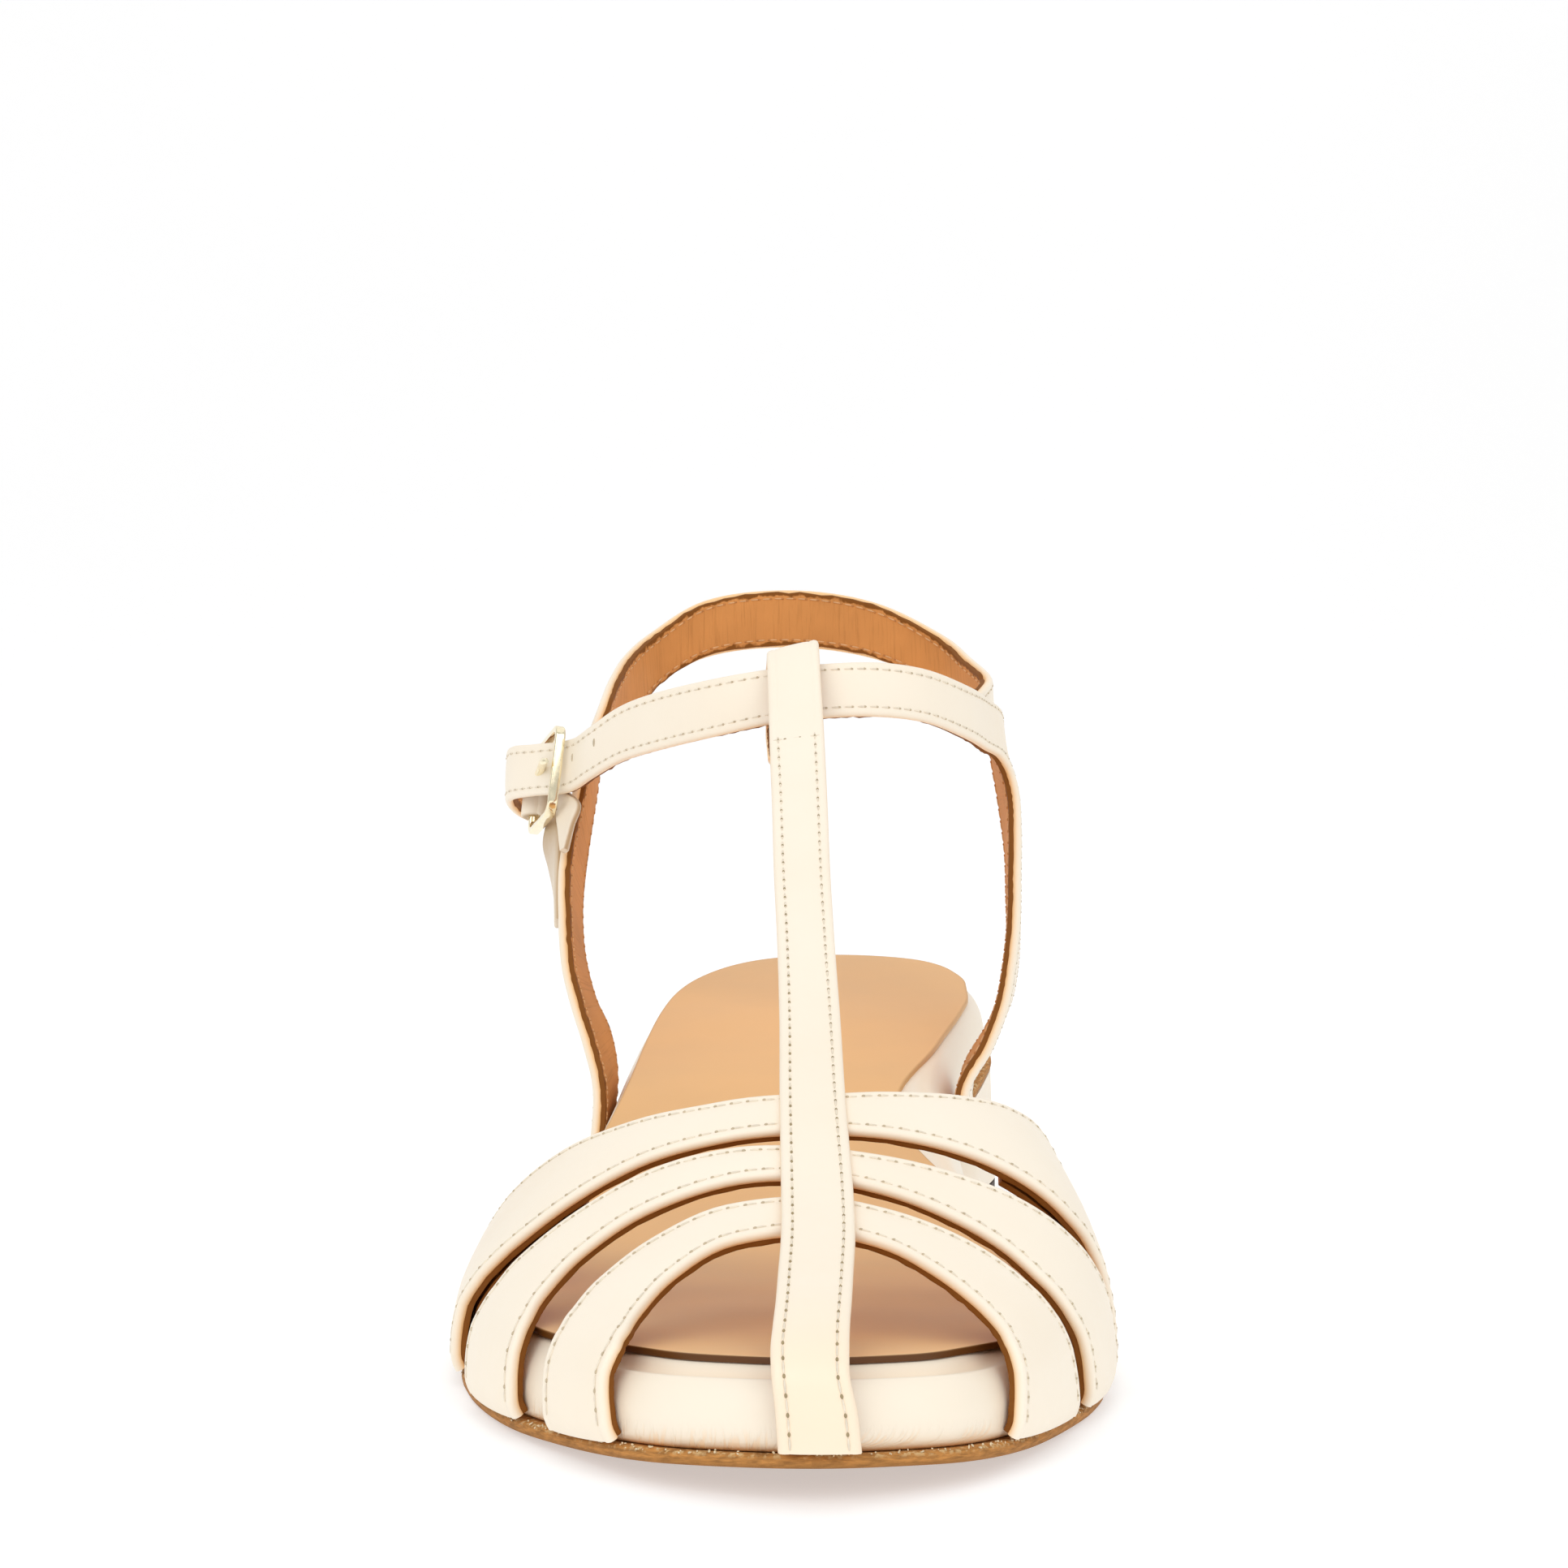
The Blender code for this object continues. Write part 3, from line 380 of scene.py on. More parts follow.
SLING_STRAP = table(
    BandRow,
    (27.4, 190.0, 86.2, 29.4, 196.5, 80.4),
    (29.6, 197.0, 88.6, 30.2, 203.5, 81.6),
    (31.8, 206.0, 91.4, 32.6, 213.0, 82.4),
    (28.9, 218.0, 95.0, 30.0, 222.5, 84.6),
    (24.6, 228.2, 99.0, 25.2, 230.6, 89.2),
    (12.2, 236.3, 105.0, 12.4, 237.2, 94.6),
    (-3.6, 238.2, 107.2, -3.6, 238.8, 96.7),
    (-19.4, 236.4, 105.2, -19.2, 237.0, 94.8),
    (-29.0, 229.3, 99.4, -28.6, 231.4, 89.6),
    (-33.2, 219.0, 95.3, -32.6, 223.2, 85.0),
    (-35.2, 208.5, 91.2, -36.4, 215.5, 80.0),
    (-36.3, 200.0, 87.2, -38.7, 210.0, 75.5),
    (-38.8, 196.6, 80.0, -39.4, 205.6, 69.0),
    (-41.1, 193.8, 70.5, -40.1, 200.6, 61.5),
    (-42.5, 184.6, 60.4, -40.7, 194.4, 53.2),
    (-42.0, 176.6, 51.0, -40.2, 188.0, 46.0),
    (-41.0, 170.0, 44.0, -38.8, 182.0, 41.0),
    (-39.3, 165.6, 38.4, -37.2, 178.0, 37.0),
    (-36.9, 160.8, 32.0, -34.9, 174.2, 33.0),
    (-35.1, 156.0, 25.6, -33.7, 170.4, 27.3),
    (-35.4, 151.0, 16.2, -34.1, 166.0, 19.6),
)
TAB_TONGUE = table(
    BandRow,
    (-41.2, 183.4, 62.0, -40.4, 182.8, 62.6),
    (-42.0, 187.4, 65.4, -39.4, 185.0, 66.6),
    (-42.6, 190.2, 67.6, -38.4, 186.8, 69.8),
    (-42.5, 195.4, 67.2, -41.7, 194.0, 73.0),
    (-44.0, 199.8, 67.2, -42.8, 198.2, 76.2),
)
TAB_OUTER = table(
    BandRow,
    (-45.3, 197.2, 66.8, -44.6, 195.0, 70.2),
    (-46.0, 196.4, 62.6, -42.9, 190.0, 66.4),
    (-44.8, 193.0, 58.8, -42.9, 186.3, 62.4),
    (-43.4, 187.4, 54.2, -42.9, 181.9, 57.0),
    (-42.8, 182.2, 49.6, -42.6, 177.6, 51.6),
)

ProngRow = namedtuple("ProngRow", "x y z")
PRONG = table(
    ProngRow,
    (-48.9, 201.2, 72.1),
    (-47.6, 198.0, 73.4),
    (-46.3, 194.2, 75.0),
    (-45.5, 190.8, 76.5),
    (-44.9, 187.6, 77.3),
    (-44.3, 185.9, 77.4),
)

# Half sections from an edge inwards: distance from the edge, depth under the outer face, tint of the rim; on
# the cover's roll that tint is the edge's own tan and painted shade where the roll turns under
SectionRow = namedtuple("SectionRow", "from_edge depth rim")
COVER_HALF = table(
    SectionRow,
    (0.70, 1.50, 1.0),
    (0.20, 1.28, 0.90),
    (0.0, 0.90, 0.42),
    (0.05, 0.50, 0.14),
    (0.22, 0.20, 0.02),
    (0.58, 0.04, 0.0),
    (0.95, 0.02, 0.0),
    (1.22, 0.08, 0.0),
    (1.40, 0.12, 0.0),
    (1.58, 0.08, 0.0),
    (1.90, 0.04, 0.0),
)
LINING_HALF = table(
    SectionRow,
    (1.60, 2.20, 0.0),
    (1.05, 2.20, 0.45),
    (0.48, 2.12, 0.9),
    (0.36, 1.74, 1.0),
    (0.44, 1.34, 1.0),
)

# Facing: the lining's second layer at the sides, set back behind the first
FACING_RISE = 1.3
FACING_SET_BACK = 0.5
FACING_STEP = 2.67
FACING_HALF = [
    SectionRow(row.from_edge + FACING_SET_BACK, row.depth + FACING_RISE, row.rim) for row in LINING_HALF
]

# Tab section: dark cut edges; the slight tint of the first row, on the back face that shows as the tongue, is
# painted shade
TAB_HALF = table(
    SectionRow,
    (0.35, 1.2, 0.06),
    (0.05, 0.95, 0.7),
    (0.0, 0.6, 0.8),
    (0.08, 0.25, 0.4),
    (0.40, 0.0, 0.0),
)

# Strap faces between the two edges, with the ragged cut edge of the linings
FACE_SHARES = (0.14, 0.32, 0.5, 0.68, 0.86)
FACE_CROWN = 0.06
NARROW_STRIP = 4.6
RAGGED_PITCH = 0.9
LINING_RAGGED = 0.35
FAR_EDGE_SEED = 9.0

# Painted shade at the T-bar's toe end and on the buckle's tab, and the straps' tuck at the sole
BAR_TOE_END = 16.0
BAR_TOE_SHADE = 0.2
WEDGE_SHADE = 0.9
TONGUE_SHADE = 0.02
TUCK_DEPTH = 0.7
TUCK_STEP = 0.3

# Seams
STITCH_FROM_EDGE = 1.4
STITCH_DEPTH = 0.06
STITCH_END_ROWS = 4
BAR_STITCH_TOP_Z = 83.0
BAR_STITCH_START_ROW = 2
BAR_END_STEPS = 8
LINING_STITCH_FROM_EDGE = 1.5
LINING_STITCH_DEPTH = 2.24
LINING_END_ROWS = 3
BEAD_SEGMENTS = 6
BEAD_RINGS = 5

# Spare holes in the ankle strap: short dark marks of painted shadow, each with one bead because the pitch
# outruns it
PUNCHED_HOLE_X = (-36.2, -40.4)
PUNCHED_HOLE_SHARE = 0.60
PUNCHED_HOLE_REACH = 0.1
PUNCHED_HOLE_DEPTH = 0.0
PUNCHED_HOLE_LENGTH = 1.5
PUNCHED_HOLE_RADIUS = 0.28
PUNCHED_HOLE_PITCHES = 10.0

# Fibres and glue along the sole's seam
FRAY_PITCH = 0.42
FRAY_RADIUS = 0.16
FRAY_SHIFT = 0.28
FRAY_INSET = -0.75
FRAY_HEIGHT = 1.62
FRAY_END_Y = 96.0
FRAY_BARE_SHARE = 0.45
FRAY_SMALLEST = (0.4, 0.4, 0.5)
FRAY_LARGEST = (1.1, 1.1, 2.2)
FRAY_BARE_SEED = 5
FRAY_SHIFT_SEED = 11
FRAY_TURN_SEED = 17
FRAY_SIZE_SEED = 23


class SandalSizes(bpy.types.PropertyGroup):
    """Sizes of the sewn and worn details."""

    stitch_pitch: FloatProperty(
        name="Stitch Pitch",
        description="Distance from one stitch hole to the next",
        default=2.15 * MM,
        unit="LENGTH",
    )
    stitch_length: FloatProperty(
        name="Stitch Length",
        description="Length of thread that shows in one stitch",
        default=1.6 * MM,
        unit="LENGTH",
    )
    thread_radius: FloatProperty(
        name="Thread Radius",
        description="Half of the thread's thickness",
        default=0.15 * MM,
        unit="LENGTH",
    )
    hole_length: FloatProperty(
        name="Hole Length",
        description="Length of a needle hole along the seam",
        default=0.56 * MM,
        unit="LENGTH",
    )
    hole_radius: FloatProperty(
        name="Hole Radius",
        description="Half of a needle hole's width",
        default=0.18 * MM,
        unit="LENGTH",
    )
    grain_size: FloatProperty(
        name="Grain Size",
        description="Size of one pebble of the leather's grain",
        default=0.55 * MM,
        unit="LENGTH",
    )


def colour_property(name, description, default):
    """Property for one colour."""
    return FloatVectorProperty(
        name=name, description=description, default=default, subtype="COLOR", size=3, min=0.0, max=1.0
    )


class SandalColours(bpy.types.PropertyGroup):
    """Colours of the leathers, thread, sole and buckle."""

    cream: colour_property("Cream Leather", "Cover leather of straps, footbed and heel", (0.93, 0.838, 0.695))
    # Darker patches of the cover leather, and the base of the tab's painted shade
    cream_shade: colour_property("Cream Shade", "Darker patches of the cover leather", (0.915, 0.812, 0.66))
    tan: colour_property("Tan Lining", "Lining of the straps", (0.70, 0.30, 0.09))
    sock: colour_property("Sock", "Leather of the sock lining", (0.77, 0.45, 0.195))
    # Tan of the rolled edges' underside, and the colour of painted shade on the rolls, the footbed and the
    # T-bar's toe
    rolled_edge_and_shade: colour_property("Rolled Edge", "Underside of the rolled strap edges", (0.95, 0.58, 0.25))
    # Dark cut edge of the linings, and the colour of the painted shade in their creases
    raw_edge_and_crease_shade: colour_property("Raw Edge", "Cut edge of the linings", (0.22, 0.076, 0.012))
    sole_edge: colour_property("Sole Edge", "Cut edge of the outsole", (0.56, 0.25, 0.065))
    sole_speck: colour_property("Sole Specks", "Pale fibres on the outsole's top edge", (0.62, 0.42, 0.20))
    lift: colour_property("Heel Lift", "Rubber under the heel", (0.07, 0.045, 0.035))
    thread: colour_property("Thread", "Sewing thread", (0.86, 0.77, 0.625))
    hole: colour_property("Needle Hole", "Shadow in the needle holes", (0.38, 0.30, 0.17))
    # Fainter painted shadow, in the holes of the cross and ankle straps and the spare holes
    faint_hole_shadow: colour_property("Faint Hole", "Holes of the cross and ankle straps", (0.60, 0.50, 0.35))
    lining_thread: colour_property("Lining Thread", "Thread on the lining side", (0.74, 0.42, 0.19))
    footbed: colour_property("Footbed", "Leather around the footbed", (0.91, 0.82, 0.68))
    # Dark cut edges of the tab, and the colour of the painted shadow under the buckle
    tab_edge_and_shadow: colour_property("Tab Edge", "Cut edges and folds of the buckle's tab", (0.40, 0.22, 0.06))
    glue: colour_property("Glue", "Specks of dried glue and fibres along the sole", (0.84, 0.68, 0.44))
    gold: colour_property("Pale Gold", "Buckle and prong", (0.97, 0.87, 0.62))
    floor: colour_property("Floor", "Floor and backdrop", (0.62, 0.62, 0.62))


def smooth(xs, ys):
    """Monotone cubic through a table's column."""
    spans = [b - a for a, b in zip(xs, xs[1:])]
    slopes = [(b - a) / h for a, b, h in zip(ys, ys[1:], spans)]
    tangents = [slopes[0]]
    for left, right in zip(slopes, slopes[1:]):
        tangents.append(0.0 if left * right <= 0.0 else 2.0 * left * right / (left + right))
    tangents.append(slopes[-1])

    def value(x):
        x = min(max(x, xs[0]), xs[-1])
        i = max(k for k in range(len(spans)) if xs[k] <= x)
        t = (x - xs[i]) / spans[i]
        rise = (1 + 2 * t) * (1 - t) ** 2 * ys[i] + t * t * (3 - 2 * t) * ys[i + 1]
        bend = t * (1 - t) ** 2 * tangents[i] - t * t * (1 - t) * tangents[i + 1]
        return rise + bend * spans[i]

    return value


def rows_through(rows, per_span):
    """Centripetal spline through a table's rows, with every column carried along."""
    rows = [list(row) for row in rows]
    steps = [math.sqrt(math.dist(a, b)) for a, b in zip(rows, rows[1:])]
    chords = [[(q - p) / h for p, q in zip(a, b)] for a, b, h in zip(rows, rows[1:], steps)]
    tangents = [chords[0]]
    for i in range(1, len(chords)):
        total = steps[i - 1] + steps[i]
        pairs = zip(chords[i - 1], chords[i])
        tangents.append([(p * steps[i] + q * steps[i - 1]) / total for p, q in pairs])
    tangents.append(chords[-1])
    found = []
    for i, h in enumerate(steps):
        for k in range(per_span):
            t = k / per_span
            near = (1 + 2 * t) * (1 - t) ** 2
            far = t * t * (3 - 2 * t)
            leave = t * (1 - t) ** 2 * h
            arrive = -t * t * (1 - t) * h
            columns = zip(rows[i], rows[i + 1], tangents[i], tangents[i + 1])
            found.append([near * a + far * b + leave * m + arrive * n for a, b, m, n in columns])
    found.append(rows[-1])
    return found


TOE_Y = FOOTBED_OUTLINE[0].y
FOOTBED_LENGTH = FOOTBED_OUTLINE[-1].y - TOE_Y


def angle_at(y):
    """Angle that turns the length into a half circle, so that toe and heel come out round."""
    share = min(max((y - TOE_Y) / FOOTBED_LENGTH, 0.0), 1.0)
    return math.acos(1.0 - 2.0 * share)


OUTLINE_ANGLES = [angle_at(row.y) for row in FOOTBED_OUTLINE]
lateral_at_angle = smooth(OUTLINE_ANGLES, [row.lateral for row in FOOTBED_OUTLINE])
medial_at_angle = smooth(OUTLINE_ANGLES, [row.medial for row in FOOTBED_OUTLINE])
underside_at = smooth([row.y for row in UNDERSIDE], [row.z for row in UNDERSIDE])
CREST_YS = [row.y for row in FOREFOOT]
crest_at = smooth(CREST_YS, [row.z for row in FOREFOOT])
lateral_power_at = smooth(CREST_YS, [row.lateral_power for row in FOREFOOT])
medial_power_at = smooth(CREST_YS, [row.medial_power for row in FOREFOOT])


def footbed_plan(inset, stations):
    """Plan points of the footbed set in by a distance: toe, lateral side, heel, medial side."""
    angles = [math.pi * i / stations for i in range(stations + 1)]
    plan = []
    for angle in angles:
        y = TOE_Y + FOOTBED_LENGTH * (1.0 - math.cos(angle)) / 2.0
        plan.append((lateral_at_angle(angle), y))
    for angle in reversed(angles[1:-1]):
        y = TOE_Y + FOOTBED_LENGTH * (1.0 - math.cos(angle)) / 2.0
        plan.append((medial_at_angle(angle), y))
    moved = []
    for i, (x, y) in enumerate(plan):
        before = plan[i - 1]
        after = plan[(i + 1) % len(plan)]
        along_x = after[0] - before[0]
        along_y = after[1] - before[1]
        reach = inset / math.hypot(along_x, along_y)
        moved.append((x + along_y * reach, y - along_x * reach))
    return moved


CAD_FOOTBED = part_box("footbed")
CAD_PLAN = footbed_plan(0.0, CAD_STATIONS)
LAST_SHIFT = Vector((
    CAD_FOOTBED[0][0] / MM - min(x for x, y in CAD_PLAN),
    CAD_FOOTBED[0][1] / MM - TOE_Y,
    0.0,
))


def in_row(point):
    """Point of the last, in metres in the frame of the part."""
    return (Vector(point) + LAST_SHIFT) * MM


def node_setter(tree):
    """Function that adds a node, fills its inputs and links what is given as a socket."""

    def add(kind, inputs=None, **settings):
        node = tree.nodes.new(kind)
        for name, value in settings.items():
            setattr(node, name, value)
        for name, value in (inputs or {}).items():
            if isinstance(value, bpy.types.NodeSocket):
                tree.links.new(value, node.inputs[name])
            else:
                node.inputs[name].default_value = value
        return node

    return add


def blend_colours(add, amount, first, second):
    """Mix of two colours or colour sockets by an amount socket."""
    mix = add("ShaderNodeMix", data_type="RGBA")
    tree = mix.id_data
    given = ((MIX_AMOUNT, amount), (MIX_FIRST, first), (MIX_SECOND, second))
    for number, value in given:
        socket = mix.inputs[number]
        if isinstance(value, bpy.types.NodeSocket):
            tree.links.new(value, socket)
        elif socket.type == "RGBA":
            socket.default_value = (*value, 1.0)
        else:
            socket.default_value = value
    return mix.outputs[MIX_COLOUR]


def ramp(add, value, low, high, bottom=0.0, top=1.0):
    """Value stretched from low..high to bottom..top and held at both ends."""
    inputs = {"Value": value, "From Min": low, "From Max": high, "To Min": bottom, "To Max": top}
    return add("ShaderNodeMapRange", inputs).outputs["Result"]


def scaled(colour, factor):
    """Colour made darker or lighter."""
    return tuple(c * factor for c in colour)


def new_material(name, roughness, **sockets):
    """Shader of a new material, and the function that adds nodes to it."""
    material = bpy.data.materials.new(name)
    material.use_nodes = True
    shader = material.node_tree.nodes["Principled BSDF"]
    shader.inputs["Roughness"].default_value = roughness
    for key, value in sockets.items():
        shader.inputs[key.replace("_", " ")].default_value = value
    return shader, node_setter(material.node_tree)


def noise_value(add, where, scale, detail, **more):
    """Noise at a place, 0 to 1."""
    inputs = {"Vector": where, "Scale": scale, "Detail": detail, **more}
    return add("ShaderNodeTexNoise", inputs).outputs["Fac"]


def combine(add, operation, first, second):
    """Two values joined by an operation."""
    return add("ShaderNodeMath", {0: first, 1: second}, operation=operation).outputs[0]


def stretch(add, vector, scale):
    """Place stretched along its axes."""
    return add("ShaderNodeMapping", {"Vector": vector, "Scale": scale}).outputs["Vector"]


def height_of(add, vector):
    """Height over the underside, which the UVs carry."""
    return add("ShaderNodeSeparateXYZ", {"Vector": vector}).outputs["Y"]


def relief(add, height, strength, depth, **settings):
    """Fine relief of a depth in millimetres."""
    inputs = {"Height": height, "Strength": strength, "Distance": depth * MM}
    return add("ShaderNodeBump", inputs, **settings)


def rim_value(add):
    """Share of the rim's tint at a place, which also carries painted shade."""
    return add("ShaderNodeAttribute", attribute_name="rim").outputs["Fac"]


def place_on(add):
    """Place on the piece, in metres."""
    return add("ShaderNodeTexCoord").outputs["Object"]


def dress(shader, **sockets):
    """Links what a finish is made of to its shader."""
    for name, socket in sockets.items():
        shader.id_data.links.new(socket, shader.inputs[name.replace("_", " ")])


def leather(name, colour, shade, rim_colour, grain, drawn=0.0):
    """Smooth leather: fine grain, soft patches, a tint along the rim that is partly the edge's own colour and
    partly painted shade, and wrinkles where it is drawn in, with painted shade in their folds.
    """
    rough = LEATHER_ROUGHNESS
    shader, add = new_material(name, rough, Coat_Weight=LEATHER_COAT, Coat_Roughness=0.35)
    where = place_on(add)
    pebbles = {"Vector": where, "Scale": 1.0 / grain, "Smoothness": 0.6}
    pores = add("ShaderNodeTexVoronoi", pebbles, feature="SMOOTH_F1").outputs["Distance"]
    patches = noise_value(add, where, 38.0, 3.0)
    fine = noise_value(add, where, 0.45 / grain, 4.0)
    tone = blend_colours(add, ramp(add, patches, 0.42, 0.72), colour, shade)
    skin = relief(add, combine(add, "ADD", pores, fine), 0.10, 0.06)
    if drawn:
        place = add("ShaderNodeUVMap").outputs["UV"]
        low = ramp(add, height_of(add, place), 2.6, 5.2, 1.0, 0.0)
        folds = noise_value(add, stretch(add, place, (1.0, 0.16, 1.0)), 1.5, 3.0, Distortion=0.5)
        folds = combine(add, "MULTIPLY", ramp(add, folds, 0.42, 0.52, 1.0, 0.0), low)
        # Painted shade: the folds are darkened towards the rim colour
        tone = blend_colours(add, ramp(add, folds, 0.3, 1.0, 0.0, 0.3), tone, rim_colour)
        wrinkles = relief(add, folds, drawn, 0.2, invert=True)
        shader.id_data.links.new(skin.outputs["Normal"], wrinkles.inputs["Normal"])
        skin = wrinkles
    dress(
        shader,
        Base_Color=blend_colours(add, rim_value(add), tone, rim_colour),
        Roughness=ramp(add, fine, 0.3, 0.7, rough - 0.06, rough + 0.08),
        Normal=skin.outputs["Normal"],
    )


def creased_lining(name, colour, shade, rim_colour):
    """Lining leather with fine creases across the strap, darkened with painted shade, and a dark, uneven cut
    edge.
    """
    shader, add = new_material(name, 0.62, Specular_IOR_Level=0.12)
    along = add("ShaderNodeUVMap").outputs["UV"]
    lines = noise_value(add, stretch(add, along, (1.0, 0.05, 1.0)), 1.6, 5.0, Roughness=0.66)
    where = place_on(add)
    patches = noise_value(add, where, 60.0, 3.0)
    frayed = noise_value(add, where, 650.0, 4.0)
    uneven = combine(add, "ADD", rim_value(add), ramp(add, frayed, 0.3, 0.7, -0.3, 0.3))
    tone = blend_colours(add, ramp(add, patches, 0.35, 0.7), colour, shade)
    # Painted shade: the creases are darkened towards the cut edge's colour
    crease_shaded = blend_colours(add, ramp(add, lines, 0.34, 0.48, 0.22, 0.0), tone, rim_colour)
    dress(
        shader,
        Base_Color=blend_colours(add, ramp(add, uneven, 0.35, 0.6), crease_shaded, rim_colour),
        Normal=relief(add, lines, 0.3, 0.2).outputs["Normal"],
    )


def fibrous_edge(name, colour, dark, speck):
    """Cut board edge of the outsole: mottled fibres, darker at the tread and rough along its top."""
    shader, add = new_material(name, 0.70, Specular_IOR_Level=0.22)
    place = add("ShaderNodeUVMap").outputs["UV"]
    rise = height_of(add, place)
    fibres = noise_value(add, stretch(add, place, (0.3, 1.6, 1.0)), 1.4, 6.0, Roughness=0.65)
    specks = noise_value(add, place_on(add), 1300.0, 3.0)
    tone = blend_colours(add, ramp(add, fibres, 0.36, 0.62), dark, colour)
    low = blend_colours(add, ramp(add, rise, 0.15, 0.75, 0.55, 0.0), tone, dark)
    top = combine(add, "MULTIPLY", ramp(add, specks, 0.5, 0.62), ramp(add, rise, 1.0, 1.5))
    dress(
        shader,
        Base_Color=blend_colours(add, top, low, speck),
        Normal=relief(add, fibres, 0.5, 0.15).outputs["Normal"],
    )


def sock_leather(name, colour, rim_colour):
    """Sock leather: smooth and a little glossy, cloudy at the heel, with a dark cut edge."""
    shader, add = new_material(name, 0.44, Specular_IOR_Level=0.32)
    where = place_on(add)
    clouds = noise_value(add, where, 22.0, 4.0)
    fine = noise_value(add, where, 900.0, 3.0)
    pale = tuple(min(c * SOCK_CLOUD, 1.0) for c in colour)
    tone = blend_colours(add, ramp(add, clouds, 0.38, 0.68), colour, pale)
    dress(
        shader,
        Base_Color=blend_colours(add, rim_value(add), tone, rim_colour),
        Roughness=ramp(add, clouds, 0.3, 0.7, 0.40, 0.54),
        Normal=relief(add, fine, 0.18, 0.05).outputs["Normal"],
    )


def plain_finish(name, colour, roughness, metallic=0.0, wear_scale=700.0, wear=0.08):
    """Plain finish whose roughness and colour vary a little over the surface."""
    shader, add = new_material(name, roughness, Metallic=metallic)
    rub = noise_value(add, place_on(add), wear_scale, 3.0)
    darker = scaled(colour, 1.0 - 2.0 * wear)
    dress(
        shader,
        Base_Color=blend_colours(add, ramp(add, rub, 0.35, 0.65), darker, colour),
        Roughness=ramp(add, rub, 0.3, 0.7, max(roughness - wear, 0.02), roughness + wear),
    )
    return shader


def material_named(name):
    """Finish mixed before."""
    return bpy.data.materials[name]


class SANDAL_OT_finishes(bpy.types.Operator):
    """Mix the leathers, the thread, the sole and the metal"""

    bl_idname = "sandal.finishes"
    bl_label = "Finishes"

    def execute(self, context):
        tints = context.scene.sandal_colours
        grain = context.scene.sandal_sizes.grain_size
        shade = tuple(tints.cream_shade)
        raw_and_crease_shade = tuple(tints.raw_edge_and_crease_shade)
        tan = tuple(tints.tan)
        rolled = tuple(tints.rolled_edge_and_shade)
        sole = tuple(tints.sole_edge)
        deep_tan = scaled(tan, DEEP_TAN)
        # The rolled-edge colour also paints shade: on the cover's rolls, in the footbed's folds and toe
        # valley, and at the T-bar's toe
        leather("cover_leather", tuple(tints.cream), shade, rolled, grain)
        leather("footbed_leather", tuple(tints.footbed), shade, rolled, grain, drawn=FOOTBED_WRINKLES)
        # Painted shade: the tab is made from the darker cream shade, as if it lay in the buckle's shadow
        leather("tab_leather", shade, scaled(shade, TAB_SHADE_PATCH), tuple(tints.tab_edge_and_shadow), grain)
        creased_lining("tan_lining", tan, deep_tan, raw_and_crease_shade)
        sock_leather("sock_leather", tuple(tints.sock), scaled(raw_and_crease_shade, SOCK_EDGE_DARK))
        fibrous_edge("outsole_board", sole, scaled(sole, SOLE_DARK), tuple(tints.sole_speck))
        plain_finish("heel_rubber", tuple(tints.lift), 0.7)
        plain_finish("thread", tuple(tints.thread), 0.6)
        # Painted shadow in the needle holes: dark on the T-bar, fainter on the straps, deep tan on the lining
        plain_finish("needle_hole_shadow", tuple(tints.hole), 0.9)
        plain_finish("faint_hole_shadow", tuple(tints.faint_hole_shadow), 0.9)
        plain_finish("lining_thread", tuple(tints.lining_thread), 0.7)
        plain_finish("lining_hole_shadow", deep_tan, 0.9)
        plain_finish("glue_specks", tuple(tints.glue), 0.75, wear_scale=2500.0, wear=0.16)
        plain_finish("pale_gold", tuple(tints.gold), 0.12, metallic=1.0, wear=0.04)
        floor = plain_finish("pale_floor", tuple(tints.floor), 0.85, wear_scale=3.0, wear=0.005)
        floor.inputs["Emission Color"].default_value = WHITE
        floor.inputs["Emission Strength"].default_value = FLOOR_GLOW
        return {"FINISHED"}


def new_object(name, data):
    """Object of some data, linked to the scene."""
    made = bpy.data.objects.new(name, data)
    bpy.context.scene.collection.objects.link(made)
    return made


class Mesh:
    """Vertices, faces and corner values gathered for one piece."""

    def __init__(self):
        self.vertices = []
        self.faces = []
        self.rims = []
        self.uvs = []

    def add_rings(self, rings, rims, uvs, closed_ends=True):
        """Skin over equal closed rings, each with a rim value and a UV for its points."""
        base = len(self.vertices)
        count = len(rings[0])
        for ring, rim, uv in zip(rings, rims, uvs):
            self.vertices += ring
            self.rims += rim
            self.uvs += uv
        for i in range(len(rings) - 1):
            for j in range(count):
                k = (j + 1) % count
                low = base + i * count
                self.faces.append((low + j, low + k, low + count + k, low + count + j))
        if closed_ends:
            self.faces.append(tuple(base + j for j in range(count)))
            end = base + (len(rings) - 1) * count
            self.faces.append(tuple(end + j for j in range(count)))

    def to_object(self, name, material_name):
        """Piece with outward normals, soft shading, its rim tint, its UVs and one material."""
        mesh = bpy.data.meshes.new(name)
        mesh.from_pydata([in_row(v) for v in self.vertices], [], self.faces)
        rim = mesh.attributes.new("rim", "FLOAT", "POINT")
        rim.data.foreach_set("value", self.rims)
        layer = mesh.uv_layers.new(name="UVMap")
        corners = [0] * len(mesh.loops)
        mesh.loops.foreach_get("vertex_index", corners)
        layer.data.foreach_set("uv", [value for corner in corners for value in self.uvs[corner]])
        build = bmesh.new()
        build.from_mesh(mesh)
        bmesh.ops.recalc_face_normals(build, faces=build.faces)
        build.to_mesh(mesh)
        build.free()
        mesh.shade_smooth()
        mesh.set_sharp_from_angle(angle=SHARP_ANGLE)
        mesh.materials.append(material_named(material_name))
        return new_object(name, mesh)


def settle(piece, slot, *nodes):
    """Hands a finished piece over: its body and the nodes it stands for; the slot is not used."""
    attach(piece, BODY)
    if nodes:
        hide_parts(*nodes)
    return piece


